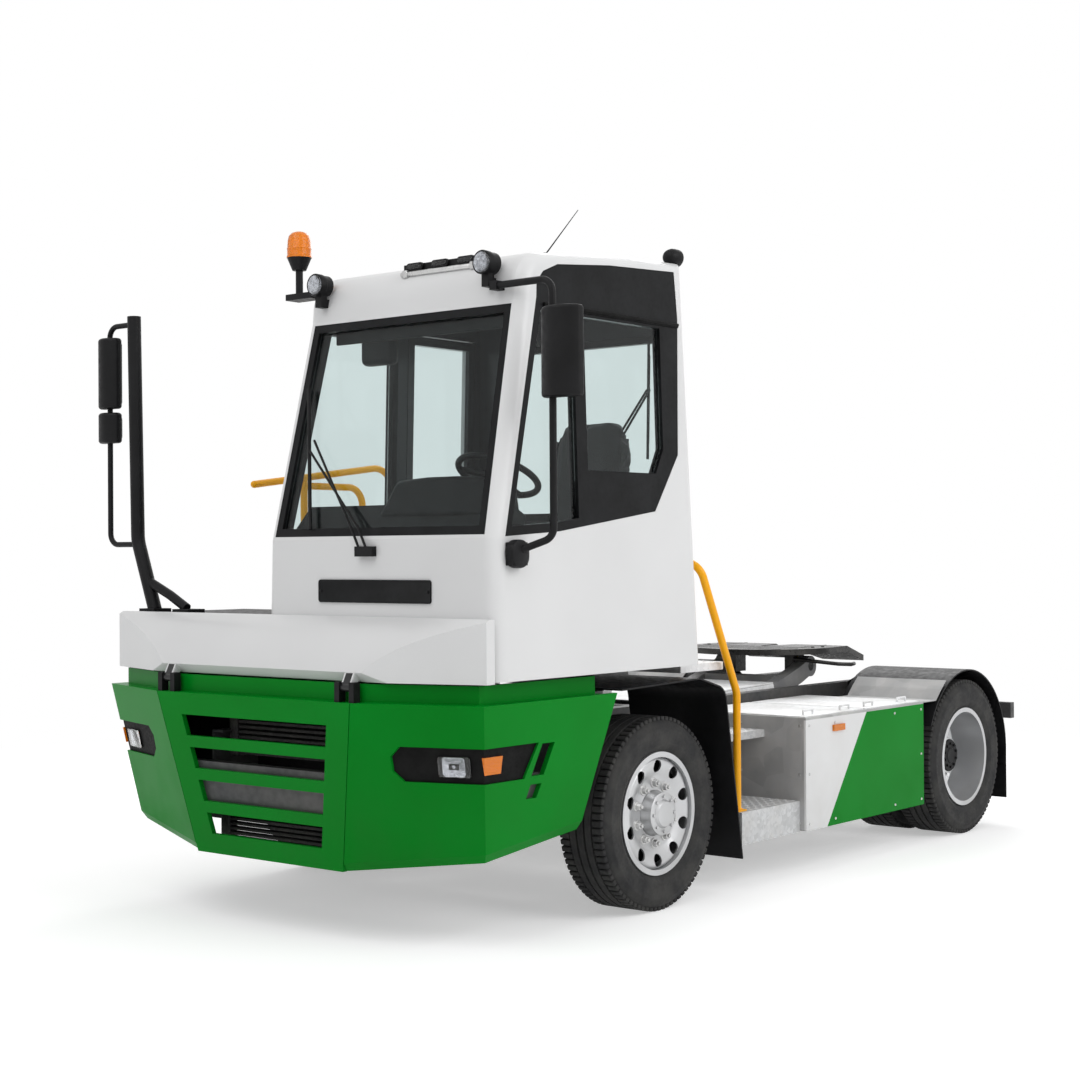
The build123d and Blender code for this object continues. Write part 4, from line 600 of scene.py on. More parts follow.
def box_edges(bm, low, high):
    """Starts a box between two corners and gives back its edges."""
    low, high = Vector(low), Vector(high)
    place = Matrix.Translation((low + high) / 2) @ Matrix.Diagonal((*(high - low), 1))
    return edges_at(bmesh.ops.create_cube(bm, size=1, matrix=place)["verts"])


def block(bm, low, high, edge=0.004, segments=2):
    """A box between two corners with its edges rounded."""
    round_edges(bm, box_edges(bm, low, high), edge, segments)


def plate(bm, low, high, axis, corner, edge=0.002):
    """A thin plate whose outline has round corners. axis is the number of its thin direction."""
    edges = box_edges(bm, low, high)
    across = [e for e in edges if abs((e.verts[0].co - e.verts[1].co)[axis]) > 1e-6]
    made = round_edges(bm, across, corner, 5)
    faces = dict.fromkeys(face for vert in made["verts"] for face in vert.link_faces)
    outline = dict.fromkeys(rim for face in faces for rim in face.edges)
    round_edges(bm, sharp(outline, 60), edge)


def rod(bm, start, end, radius, sides=16, tip=None):
    """A round bar between two points, with an end radius of its own if it tapers."""
    start, end = Vector(start), Vector(end)
    along = end - start
    turned = along.to_track_quat("Z", "Y").to_matrix().to_4x4()
    made = bmesh.ops.create_cone(
        bm,
        cap_ends=True,
        segments=sides,
        radius1=radius,
        radius2=tip or radius,
        depth=along.length,
        matrix=Matrix.Translation((start + end) / 2) @ turned,
    )
    round_edges(bm, sharp(edges_at(made["verts"]), 60), radius * 0.15)


def turn_profile(bm, points, centre, axis, steps):
    """Spins a line of (along, radius) points round an axis through a centre."""
    axis = Vector(axis)
    side = Vector((0, 0, 1)) if abs(axis.z) < 0.9 else Vector((1, 0, 0))
    start = Vector(centre)
    verts = [bm.verts.new(start + axis * along + side * radius) for along, radius in points]
    edges = [bm.edges.new(pair) for pair in zip(verts, verts[1:])]
    bmesh.ops.spin(
        bm, geom=verts + edges, cent=centre, axis=axis, angle=2 * pi, steps=steps, use_merge=True
    )
    bmesh.ops.remove_doubles(bm, verts=bm.verts[:], dist=1e-5)
    bmesh.ops.recalc_face_normals(bm, faces=bm.faces[:])


def repeat_round(bm, geom, centre, axis, count):
    """Copies a shape round an axis until there are count of it."""
    bmesh.ops.spin(
        bm,
        geom=geom,
        cent=centre,
        axis=axis,
        angle=2 * pi * (count - 1) / count,
        steps=count - 1,
        use_duplicate=True,
    )


def to_both_sides(bm):
    """Adds the mirror image across the vehicle's middle."""
    copy = bmesh.ops.duplicate(bm, geom=everything(bm))["geom"]
    verts = [g for g in copy if isinstance(g, bmesh.types.BMVert)]
    bmesh.ops.scale(bm, vec=(1, -1, 1), verts=verts)
    bmesh.ops.reverse_faces(bm, faces=[g for g in copy if isinstance(g, bmesh.types.BMFace)])


print("helpers ready")

# %% [markdown]
# ## Tyres
# A truck tyre is a ring with a bulged side wall, a ribbed tread and a row of blocks along each
# shoulder. A torus would be too soft, so a section line is spun round the axle. The shoulder
# blocks are one small rounded box that is copied round the wheel. Each tyre stands in for the
# plain ring of the frame.

# %% Tyres
axle_height = 0.47
front_axle, rear_axle = 1.155, -1.975
front_tyre, outer_tyre, inner_tyre = 1.037, 1.1, 0.755
# The blocks of a shoulder: how many, half their length, and their span across and up the tread
tread_blocks, block_half = 84, 0.0135
block_inner, block_outer, block_foot, block_top = 0.069, 0.1255, 0.447, 0.4695
# Half of the section from the middle of the tread to the bead: (offset, radius)
half_section = (
    (0.017, 0.4700), (0.019, 0.4570), (0.027, 0.4570), (0.029, 0.4700), (0.062, 0.4695),
    (0.064, 0.4560), (0.116, 0.4540), (0.128, 0.4460), (0.1365, 0.4330), (0.1400, 0.4200),
    (0.1432, 0.4160), (0.1446, 0.4060), (0.1428, 0.4010), (0.1432, 0.3760), (0.1388, 0.3470),
    (0.1405, 0.3400), (0.1380, 0.3330), (0.1300, 0.3180), (0.1200, 0.3060), (0.1145, 0.2985),
    (0.1130, 0.2860),
)


def since(bm, before):
    """What has come into a bmesh since a note of everything in it was taken."""
    before = set(before)
    return [part for part in everything(bm) if part not in before]


def add_tyre(bm, centre):
    section = [(-o, r) for o, r in reversed(half_section)] + list(half_section)
    ring = bmesh.new()
    turn_profile(ring, section + section[:1], centre, (0, 1, 0), 96)
    for side in (-1, 1):
        before = everything(ring)
        inner, outer = sorted((side * block_inner, side * block_outer))
        hub = Vector(centre)
        block(
            ring,
            hub + Vector((-block_half, inner, block_foot)),
            hub + Vector((block_half, outer, block_top)),
            0.004,
            1,
        )
        repeat_round(ring, since(ring, before), centre, (0, 1, 0), tread_blocks)
    part = bpy.data.meshes.new("tyre_part")
    ring.to_mesh(part)
    ring.free()
    bm.from_mesh(part)
    bpy.data.meshes.remove(part)


# Wheels: (name, body, axle, offsets from the middle, side)
wheel_table = (
    ("front_left", "wheel_front_left", front_axle, (front_tyre,), 1),
    ("front_right", "wheel_front_right", front_axle, (front_tyre,), -1),
    ("rear_left", "wheels_rear_left", rear_axle, (outer_tyre, inner_tyre), 1),
    ("rear_right", "wheels_rear_right", rear_axle, (outer_tyre, inner_tyre), -1),
)
for name, body, axle, offsets, side in wheel_table:
    bm = bmesh.new()
    for offset in offsets:
        add_tyre(bm, (axle, side * offset, axle_height))
    node = f"tyre_{name}" if len(offsets) == 1 else f"tyres_{name}"
    keep(f"treaded_{node}", bm, body, tyre_rubber, (node,))
print("tyres:", added)

# %% [markdown]
# ## Wheel nuts and hubs
# Ten nuts hold each wheel. A nut is a short six-sided bar with rounded rims, on a washer and
# with its stud, and it is copied round the hub. The front hub carries a bolted cap, and the rear
# hub, which holds the planet gears, ends in a dark cover with its own ring of bolts.

# %% Wheel nuts and hubs
nut_circle = 0.146
front_flange, rear_flange = 0.09, 0.033
twin_middle = (outer_tyre + inner_tyre) / 2


def add_nut(bm, foot, out, size):
    rod(bm, foot - out * 0.004, foot + out * 0.006, size * 1.35, 20)
    rod(bm, foot + out * 0.003, foot + out * size * 1.35, size, 6)
    rod(bm, foot + out * size, foot + out * size * 1.9, size * 0.5, 12)


def add_cap(bm, centre, out, profile, bolt_circle, bolt_foot, bolts):
    turn_profile(bm, profile, centre, out, 40)
    before = everything(bm)
    foot = Vector(centre) + out * bolt_foot + Vector((0, 0, bolt_circle))
    rod(bm, foot - out * 0.003, foot + out * 0.009, 0.009, 6)
    repeat_round(bm, since(bm, before), centre, out, bolts)


front_cap = (
    (0.132, 0.000), (0.132, 0.1005), (0.139, 0.1040), (0.147, 0.1035), (0.150, 0.0980),
    (0.150, 0.0700), (0.156, 0.0660), (0.163, 0.0600), (0.166, 0.0400), (0.166, 0.0000),
)
rear_cap = (
    (0.050, 0.000), (0.050, 0.1160), (0.120, 0.1155), (0.185, 0.1000), (0.192, 0.1000),
    (0.200, 0.0960), (0.203, 0.0880), (0.203, 0.0500), (0.208, 0.0440), (0.208, 0.0000),
)
for name, body, axle, offsets, side in wheel_table:
    out = Vector((0, side, 0))
    front = len(offsets) == 1
    middle = front_tyre if front else twin_middle
    centre = Vector((axle, side * middle, axle_height))
    bm = bmesh.new()
    flange = front_flange if front else rear_flange
    add_nut(bm, centre + out * flange + Vector((0, 0, nut_circle)), out, 0.019)
    repeat_round(bm, everything(bm), centre, out, 10)
    keep(f"wheel_nuts_{name}", bm, body, bright_steel)
    bm = bmesh.new()
    if front:
        add_cap(bm, centre, out, front_cap, 0.084, 0.150, 8)
    else:
        add_cap(bm, centre, out, rear_cap, 0.072, 0.203, 10)
    cover = silver_wheel if front else black_moulding
    keep(f"hub_cover_{name}", bm, body, cover)
print("wheel pieces:", len(added))

# %% [markdown]
# ## Head lamps
# Behind each clear lens stands a square reflector in a dark bezel: a plate whose face is inset
# three times and pushed back, with a small bulb in its middle. The unit is built flat, in a small
# frame of its own, and then laid on the swept and raked face of the bumper wing. That face is
# known from the bumper's own numbers: its nose, its fold and its sweep.

# %% Head lamps
bumper_low, bumper_top = 0.3, 1.085
nose_low, nose_top = 2.628, 2.745
fold_low, fold_top = 0.486, 0.65
sweep = radians(18.3)


def wing_face(y, z):
    share = (z - bumper_low) / (bumper_top - bumper_low)
    nose = nose_low + (nose_top - nose_low) * share
    fold = fold_low + (fold_top - fold_low) * share
    return Vector((nose - (y - fold) * tan(sweep), y, z))


def wing_frame(y, z, depth):
    """A frame on the left wing's face: X outwards along it, Y up it, Z out of it."""
    along = (wing_face(y + 0.05, z) - wing_face(y - 0.05, z)).normalized()
    rise = wing_face(y, z + 0.05) - wing_face(y, z - 0.05)
    outward = along.cross(rise).normalized()
    rise = outward.cross(along)
    place = Matrix((along, rise, outward)).transposed().to_4x4()
    return Matrix.Translation(wing_face(y, z) - outward * depth) @ place


lamp_place = wing_frame(1.077, 0.816, 0.0125)
lamp_half = Vector((0.0755, 0.0455))
bezel = bmesh.new()
plate(bezel, (-lamp_half.x, -lamp_half.y, 0), (lamp_half.x, lamp_half.y, 0.002), 2, 0.012, 0.0006)
for x_low, x_high in ((-0.074, -0.058), (0.052, 0.074)):
    block(bezel, (x_low, -0.044, 0.001), (x_high, 0.044, 0.0078), 0.002, 2)
bmesh.ops.transform(bezel, matrix=lamp_place, verts=bezel.verts[:])
to_both_sides(bezel)
keep("headlamp_bezels", bezel, "chassis", seal_rubber)

dishes = bmesh.new()
plate(dishes, (-0.056, -0.043, 0.0018), (0.05, 0.043, 0.0078), 2, 0.014, 0.0008)
face = max(dishes.faces, key=lambda f: f.normal.z * f.calc_area())
for thickness, depth in ((0.004, 0.0), (0.012, -0.0024), (0.012, -0.0016)):
    bmesh.ops.inset_region(dishes, faces=[face], thickness=thickness, depth=depth)
bulb = ((0.0025, 0), (0.0025, 0.009), (0.0055, 0.0085), (0.007, 0.005), (0.0074, 0))
turn_profile(dishes, bulb, (-0.003, 0, 0), (0, 0, 1), 24)
bmesh.ops.transform(dishes, matrix=lamp_place, verts=dishes.verts[:])
to_both_sides(dishes)
keep("headlamp_reflectors", dishes, "chassis", reflector)

lens = bmesh.new()
low, high = (-lamp_half.x, -lamp_half.y, 0.0082), (lamp_half.x, lamp_half.y, 0.0112)
plate(lens, low, high, 2, 0.012, 0.0012)
bmesh.ops.transform(lens, matrix=lamp_place, verts=lens.verts[:])
to_both_sides(lens)
keep("headlamp_lenses", lens, "chassis", lamp_lens, ("headlamps",))
print("lamp face at", [round(v, 3) for v in wing_face(1.077, 0.816)])

# %% [markdown]
# ## Roof lamps, beacon and aerial
# Two round work lamps sit at the brow's corners, three small lamps above the windscreen over a
# bright tube, and the beacon on the right. All are spun lines, bars or rounded plates: rims,
# ribbed lenses, and a reflector in the round ones. Every second line of the beacon's dome is
# drawn in a little, which gives it ribs. The whip aerial leans back from its foot on the roof,
# and a small black work lamp stands at the roof's rear corner.

# %% Roof lamps, beacon and aerial
forward = Vector((1, 0, 0))
lamp_front = 2.275
rims, bowls, panes = bmesh.new(), bmesh.new(), bmesh.new()
rim_line = (
    (-0.03, 0.0445), (-0.03, 0.0500), (-0.026, 0.0535), (0.006, 0.0540),
    (0.010, 0.0515), (0.009, 0.0465), (0.001, 0.0450), (-0.03, 0.0445),
)
bowl_line = (
    (0.0004, 0.0), (0.0004, 0.0462), (0.0085, 0.0462), (0.005, 0.034),
    (0.0025, 0.018), (0.003, 0.011), (0.006, 0.009), (0.0072, 0.0),
)
pane_line = ((0.0086, 0.0), (0.0086, 0.0466), (0.0105, 0.040), (0.0135, 0.022), (0.0145, 0.0))
for y in (-0.034, 1.022):
    centre = Vector((lamp_front, y, 3.021))
    for bm, line in ((rims, rim_line), (bowls, bowl_line), (panes, pane_line)):
        turn_profile(bm, line, centre, forward, 36)
bar_front, bar_z = 2.155, 3.064
tube = bmesh.new()
tube_x, tube_z = bar_front + 0.012, bar_z - 0.03
rod(tube, (tube_x, 0.43, tube_z), (tube_x, 0.905, tube_z), 0.013, 16)
for y in (0.46, 0.875):
    low = (tube_x - 0.022, y - 0.014, tube_z - 0.017)
    high = (tube_x + 0.016, y + 0.014, tube_z + 0.018)
    block(tube, low, high, 0.005, 3)
keep("lamp_bar_tube", tube, "cab", bright_steel)
for y in (0.51, 0.667, 0.825):
    low = Vector((bar_front - 0.002, y - 0.05, bar_z - 0.016))
    high = Vector((bar_front + 0.014, y + 0.05, bar_z + 0.02))
    plate(rims, low, high, 0, 0.014, 0.002)
    low, high = low + Vector((0.012, 0.007, 0.007)), high + Vector((0.004, -0.007, -0.007))
    plate(panes, low, high, 0, 0.01, 0.001)
keep("roof_lamp_rims", rims, "cab", black_moulding)
keep("roof_lamp_reflectors", bowls, "cab", reflector)
keep("roof_lamp_lenses", panes, "cab", lamp_lens)

low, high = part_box("beacon")
foot = Vector(((low.x + high.x) / 2, (low.y + high.y) / 2, low.z))
bm = bmesh.new()
dome = (
    (0.000, 0.0000), (0.000, 0.0620), (0.008, 0.0620), (0.010, 0.0590),
    (0.040, 0.0585), (0.044, 0.0605), (0.050, 0.0580), (0.085, 0.0560),
    (0.108, 0.0500), (0.122, 0.0360), (0.1285, 0.0180), (0.130, 0.0000),
)
dome_steps = 64
turn_profile(bm, dome, foot, (0, 0, 1), dome_steps)
for vert in bm.verts:
    away = vert.co - foot
    step = round((atan2(away.y, away.x) % (2 * pi)) / (2 * pi / dome_steps))
    if 0.012 < away.z < 0.11 and step % 2:
        vert.co.xy = foot.xy + away.xy * 0.972
keep("beacon_lens", bm, "cab", amber_lens, ("beacon",))

bm = bmesh.new()
aerial_foot, aerial_tip = Vector((1.684, 0.9, 3.108)), Vector((1.43, 0.9, 3.385))
foot_line = ((0, 0), (0, 0.028), (0.012, 0.028), (0.03, 0.016), (0.04, 0.009), (0.04, 0))
turn_profile(bm, foot_line, aerial_foot, (0, 0, 1), 24)
rod(bm, aerial_foot + Vector((0, 0, 0.03)), aerial_tip, 0.0035, 10, 0.0018)
work_lamp = Vector((0.945, 1.115, 3.19))
rod(bm, work_lamp - Vector((-0.05, 0, 0.07)), work_lamp, 0.012, 12)
shell_line = (
    (0.052, 0), (0.05, 0.02), (0.04, 0.034), (0.02, 0.043),
    (-0.012, 0.046), (-0.03, 0.045), (-0.032, 0.040), (-0.026, 0),
)
turn_profile(bm, shell_line, work_lamp, forward, 32)
keep("aerial_and_rear_lamp", bm, "cab", black_moulding)
print("roof pieces made, pieces so far:", len(added))

# %% [markdown]
# ## Mirrors
# Each head is a moulded shell that looks back. The glass is a thin plate with round corners,
# set in the back of its shell with a narrow rim, and faintly curved glass is close enough to
# flat here. A rounded cap covers the foot of the left arm.

# %% Mirrors
# Glass: (rear face x, y low, y high, z low, z high)
glass_table = (
    (2.235, 1.379, 1.541, 2.424, 2.766),
    (2.335, -1.541, -1.439, 2.524, 2.846),
    (2.335, -1.541, -1.439, 2.344, 2.456),
)
bm, rims = bmesh.new(), bmesh.new()
for x, y_low, y_high, z_low, z_high in glass_table:
    low, high = Vector((x - 0.009, y_low, z_low)), Vector((x - 0.004, y_high, z_high))
    plate(bm, low, high, 0, 0.018, 0.0015)
    low, high = low + Vector((0.003, -0.008, -0.008)), high + Vector((0.008, 0.008, 0.008))
    plate(rims, low, high, 0, 0.022, 0.003)
plate(rims, (2.272, 1.2335, 1.668), (2.388, 1.284, 1.792), 1, 0.05, 0.012)
keep("mirror_glass", bm, "cab", mirror_silver)
keep("mirror_rims", rims, "cab", black_moulding)
print("mirror glasses:", len(glass_table))

# %% [markdown]
# ## Plate on the cab's front
# A blank dark plate with a raised border, held by two round-headed rivets. The face of a
# rounded plate is inset and pushed back to leave the border.

# %% Plate on the cab's front
bm = bmesh.new()
plate(bm, (2.453, 0.167, 1.512), (2.464, 0.871, 1.617), 0, 0.014, 0.002)
front = max(bm.faces, key=lambda face: face.calc_center_median().x + face.calc_area())
bmesh.ops.inset_region(bm, faces=[front], thickness=0.006, depth=0)
bmesh.ops.translate(bm, vec=(-0.002, 0, 0), verts=front.verts[:])
rivet = ((0, 0), (0, 0.0075), (0.003, 0.007), (0.005, 0.004), (0.0055, 0))
for y in (0.185, 0.853):
    turn_profile(bm, rivet, (2.4615, y, 1.5645), forward, 14)
keep("front_plate", bm, "cab", dark_trim)
print("front plate made")

# %% [markdown]
# ## Front wheel discs
# The pressed disc of a steered wheel stands almost flush with the rim's lip and has ten round
# hand holes. Its closed section is spun, and then ten bars are taken out of it with a Boolean.
# A near-black liner, spun as well, closes the dish behind the holes: painted shade for the
# dark inside of the wheel seen through them.

# %% Front wheel discs
def cut(bm, tool):
    """Takes the tool's shape out of a bmesh and gives back what is left."""
    pair = []
    for shape in (bm, tool):
        mesh = bpy.data.meshes.new("cut")
        shape.to_mesh(mesh)
        shape.free()
        pair.append(bpy.data.objects.new("cut", mesh))
        scene.collection.objects.link(pair[-1])
    knife = pair[0].modifiers.new("cut", "BOOLEAN")
    knife.operation, knife.solver, knife.object = "DIFFERENCE", "EXACT", pair[1]
    bpy.context.view_layer.objects.active = pair[0]
    bpy.ops.object.modifier_apply(modifier=knife.name)
    rest = bmesh.new()
    rest.from_mesh(pair[0].data)
    for made in pair:
        mesh = made.data
        bpy.data.objects.remove(made)
        bpy.data.meshes.remove(mesh)
    return rest


disc = (
    (0.1000, 0.2705), (0.1120, 0.2620), (0.1170, 0.2500), (0.1160, 0.2350), (0.1080, 0.2050),
    (0.0970, 0.1850), (0.0920, 0.1720), (0.0905, 0.1120), (0.0825, 0.1120), (0.0840, 0.1720),
    (0.0890, 0.1880), (0.1000, 0.2080), (0.1070, 0.2350), (0.1070, 0.2500), (0.1030, 0.2580),
    (0.0920, 0.2705), (0.1000, 0.2705),
)
hole_circle, hole_radius = 0.228, 0.031
shade_liner = ((0.0870, 0.1860), (0.0520, 0.2640), (0.0440, 0.2640), (0.0800, 0.1860), (0.0870, 0.1860))
for name, body, axle, offsets, side in wheel_table[:2]:
    centre, out = Vector((axle, side * front_tyre, axle_height)), Vector((0, side, 0))
    bm, holes = bmesh.new(), bmesh.new()
    turn_profile(bm, disc, centre, out, 80)
    start = centre + Vector((0, 0, hole_circle))
    rod(holes, start + out * 0.05, start + out * 0.2, hole_radius, 28)
    repeat_round(holes, everything(holes), centre, out, 10)
    keep(f"wheel_disc_{name}", cut(bm, holes), body, silver_wheel)
    # Painted shade: a near-black ring behind the hand holes stands in for the shaded inside of the
    # wheel.
    bm = bmesh.new()
    turn_profile(bm, shade_liner, centre, out, 48)
    keep(f"wheel_shade_liner_{name}", bm, body, seal_rubber)
print("disc faces:", added[-2][1])

# %% [markdown]
# ## Brake drums
# Behind each front wheel turns a brake drum. A drum is a cup, so its closed section is spun:
# outer wall, face with a hole, inner wall.

# %% Brake drums
drum = (
    (-0.12, 0.195), (-0.12, 0.215), (-0.006, 0.215), (0.0, 0.209),
    (0.0, 0.07), (-0.014, 0.07), (-0.014, 0.195), (-0.12, 0.195),
)
for name, body, axle, offsets, side in wheel_table[:2]:
    bm = bmesh.new()
    turn_profile(bm, drum, (axle, side * front_tyre, axle_height), (0, side, 0), 48)
    keep(f"brake_drum_{name}", bm, body, cast_iron)
print("brake drums: 2")

# %% [markdown]
# ## Behind the grille
# Dark shapes show through the slots: two coolers with flat tubes between their tanks, one above
# the bumper's beam and one below it, and near-black sheet shields that close the bay towards the
# wheels and also stand as painted shade for the dark depth of the bay.
# A tube is a rounded bar, set again and again at one pitch. A shield is a thin rounded sheet.

# %% Behind the grille
# Coolers: (x, half width, z low, z high, tubes)
cooler_table = ((2.5, 0.33, 0.78, 1.05, 11), (2.46, 0.44, 0.36, 0.545, 8))
bm = bmesh.new()
for x, half, low_z, high_z, tubes in cooler_table:
    pitch = (high_z - low_z) / tubes
    for step in range(tubes):
        z = low_z + (step + 0.5) * pitch
        block(bm, (x - 0.02, -half, z - 0.32 * pitch), (x + 0.02, half, z + 0.32 * pitch), 0.003, 1)
    for inner, outer in ((-half - 0.05, -half + 0.01), (half - 0.01, half + 0.05)):
        block(bm, (x - 0.032, inner, low_z - 0.006), (x + 0.032, outer, high_z + 0.006), 0.012, 3)
keep("coolers", bm, "chassis", cast_iron)

# Partly painted shade: near-black sheets close the bay behind the coolers, in place of the shaded
# depth of the bay.
bm = bmesh.new()
block(bm, (2.30, -0.86, 0.42), (2.31, 0.86, 1.163), 0.003, 1)
for side in (-1, 1):
    inner, outer = sorted((side * 0.85, side * 1.15))
    block(bm, (2.30, inner, 0.56), (2.31, outer, 1.163), 0.003, 1)
    inner, outer = sorted((side * 0.85, side * 0.86))
    block(bm, (1.74, inner, 0.5), (2.305, outer, 1.06), 0.003, 1)
keep("bay_shade_shields", bm, "chassis", black_moulding)
print("coolers:", len(cooler_table))

# %% [markdown]
# ## Bolted joints
# Screws hold the battery boxes and their panels, and bolts hold the feet of the hand rails. A
# head is a low cone with a rounded rim, and one small function sets it at a row of places.

# %% Bolted joints
def add_heads(bm, places, out, size, sides):
    out = Vector(out)
    for place in places:
        foot = Vector(place)
        rod(bm, foot - out * 0.003, foot + out * size * 0.55, size, sides, size * 0.8)


panel_side = 1.24
bm = bmesh.new()
panel_rows = [(x, z) for x in (-0.115, -0.385, -1.06, -1.38) for z in (0.275, 0.8)]
panel_rows += [(-0.115, 0.54), (-1.38, 0.54)]
add_heads(bm, [(x, panel_side, z) for x, z in panel_rows], (0, 1, 0), 0.0085, 10)
box_rows = [(-0.08, y, z) for y in (0.47, 0.83, 1.2) for z in (0.28, 0.54, 0.8)]
add_heads(bm, box_rows, (1, 0, 0), 0.009, 6)
to_both_sides(bm)
keep("panel_screws", bm, "chassis", bright_steel)

step_z, platform_z = 0.4, 1.17
# Feet: (x, y, height of what the foot stands on)
foot_table = (
    (0.45, 1.15, step_z),
    (0.765, 1.0, platform_z),
    (0.56, -1.17, platform_z),
    (1.28, -1.17, platform_z),
)
bm = bmesh.new()
for x, y, foot_z in foot_table:
    plate(bm, (x - 0.05, y - 0.03, foot_z), (x + 0.05, y + 0.03, foot_z + 0.008), 2, 0.01)
    heads = [(x - 0.036, y, foot_z + 0.008), (x + 0.036, y, foot_z + 0.008)]
    add_heads(bm, heads, (0, 0, 1), 0.009, 6)
keep("rail_feet", bm, "chassis", yellow_enamel)
print("screw rows done, pieces so far:", len(added))

# %% [markdown]
# ## Battery lids, deck and treads
# Zinc lids close the battery boxes: each is a thin rounded plate with a pair of bent handles
# for lifting it off. The step treads and the platform carry rows of raised teardrops against
# slipping. There are many of them, so each is a low, stretched ball of twenty faces.

# %% Battery lids, deck and treads
bm = bmesh.new()
lid_top = 0.843
for low_x, high_x in ((-1.39, -0.76), (-0.73, -0.1)):
    block(bm, (low_x, 0.46, lid_top - 0.002), (high_x, 1.225, lid_top + 0.007), 0.004, 2)
    for x in (low_x + 0.12, high_x - 0.12):
        rod(bm, (x - 0.05, 1.17, lid_top + 0.03), (x + 0.05, 1.17, lid_top + 0.03), 0.006, 10)
        for end in (-0.05, 0.05):
            rod(bm, (x + end, 1.17, lid_top), (x + end, 1.17, lid_top + 0.033), 0.006, 10)
to_both_sides(bm)
keep("battery_lids", bm, "chassis", zinc_plate)


def add_teardrops(bm, x_span, y_span, top, pitch):
    """Rows of raised drops on a flat tread, every second row turned."""
    row, x = 0, x_span[0]
    while x <= x_span[1]:
        y = y_span[0] + (row % 2) * pitch / 2
        while y <= y_span[1]:
            slant = Matrix.Rotation(radians(45 if row % 2 else -45), 4, "Z")
            drop = slant @ Matrix.Diagonal((0.013, 0.0045, 0.0028, 1))
            place = Matrix.Translation((x, y, top)) @ drop
            bmesh.ops.create_icosphere(bm, subdivisions=1, radius=1, matrix=place)
            y += pitch
        x += pitch * 0.6
        row += 1


bm = bmesh.new()
add_teardrops(bm, (-0.06, 0.465), (0.72, 1.18), step_z, 0.05)
add_teardrops(bm, (-0.06, 0.365), (0.45, 0.96), 0.77, 0.05)
to_both_sides(bm)
add_teardrops(bm, (0.52, 0.86), (-1.17, 1.07), platform_z, 0.06)
add_teardrops(bm, (0.9, 1.65), (-1.17, -0.25), platform_z, 0.06)
keep("tread_drops", bm, "chassis", zinc_plate)
print("tread faces:", added[-1][1])

# %% [markdown]
# ## Lift arm cover and fifth wheel
# A light folded sheet lies on the two beams of the lift arm. Its cross line is extruded along
# the arm and given a wall. The fifth wheel's plate carries low ridges between its grease
# fields, a release handle on the left, and bolts over its two bearings.

# %% Lift arm cover and fifth wheel
bm = bmesh.new()
cover_start, beam_top = 0.03, 0.8945
across = ((-0.345, -0.05), (-0.335, 0.0), (0.335, 0.0), (0.345, -0.05))
verts = [bm.verts.new((cover_start, y, beam_top + drop)) for y, drop in across]
line = [bm.edges.new(pair) for pair in zip(verts, verts[1:])]
for shift in ((-0.58, 0, 0.0165), (-0.58, 0, 0.016), (-0.07, 0, 0.003)):
    made = bmesh.ops.extrude_edge_only(bm, edges=line)["geom"]
    line = [g for g in made if isinstance(g, bmesh.types.BMEdge)]
    bmesh.ops.translate(bm, vec=shift, verts=[g for g in made if isinstance(g, bmesh.types.BMVert)])
bmesh.ops.recalc_face_normals(bm, faces=bm.faces[:])
if sum(face.normal.z for face in bm.faces) < 0:
    bmesh.ops.reverse_faces(bm, faces=bm.faces[:])
bmesh.ops.solidify(bm, geom=bm.faces[:], thickness=-0.004)
keep("arm_cover", bm, "lift_arm", zinc_plate)

bm = bmesh.new()
plate_top = 1.13
ridge_low, ridge_high = plate_top - 0.002, plate_top + 0.002
for x, half in ((-1.3, 0.33), (-1.42, 0.38), (-1.54, 0.4)):
    block(bm, (x - 0.006, -half, ridge_low), (x + 0.006, half, ridge_high), 0.0015, 1)
for y in (-0.3, 0.3):
    block(bm, (-1.9, y - 0.006, ridge_low), (-1.6, y + 0.006, ridge_high), 0.0015, 1)
rod(bm, (-1.5, 0.3, 1.06), (-1.5, 0.62, 1.04), 0.012, 12)
rod(bm, (-1.5, 0.61, 1.04), (-1.58, 0.67, 1.035), 0.012, 12)
rod(bm, (-1.58, 0.665, 1.035), (-1.66, 0.64, 1.035), 0.012, 12)
for y in (-0.39, 0.39):
    bolts = [(-1.645 + shift, y, plate_top - 0.001) for shift in (-0.06, 0.06)]
    add_heads(bm, bolts, (0, 0, 1), 0.014, 6)
keep("fifth_wheel_fittings", bm, "fifth_wheel", greased_plate)
print("coupling pieces made")

# %% [markdown]
# ## Dashboard hood and sun visor
# In front of the driver the dashboard rises to a hood over the instruments. A box is divided,
# leaned back as the windscreen is, drawn in towards its top and crowned, and then its edges are
# rounded wide. Two stalks stand at the steering wheel, and under the roof hangs a dark visor
# strip with a monitor.

# %% Dashboard hood and sun visor
bm = bmesh.new()
hood_middle, hood_size = (2.2, 0.74, 1.98), (0.22, 0.7, 0.17)
hood = Matrix.Translation(hood_middle) @ Matrix.Diagonal((*hood_size, 1))
bmesh.ops.create_cube(bm, size=1, matrix=hood)
bmesh.ops.subdivide_edges(bm, edges=bm.edges[:], cuts=2, use_grid_fill=True)
_, hood_y, hood_z = hood_middle
_, hood_width, hood_height = hood_size
for vert in bm.verts:
    share = 0.5 + (vert.co.z - hood_z) / hood_height
    vert.co.x -= 0.05 * share
    vert.co.y = hood_y + (vert.co.y - hood_y) * (1 - 0.22 * share)
    vert.co.z += 0.018 * cos((vert.co.y - hood_y) * pi / hood_width) * share
round_edges(bm, sharp(bm.edges, 40), 0.03, 4)
rod(bm, (1.86, 0.66, 2.02), (1.93, 0.5, 2.06), 0.009, 10)
rod(bm, (1.86, 0.74, 2.02), (1.93, 0.9, 2.06), 0.009, 10)
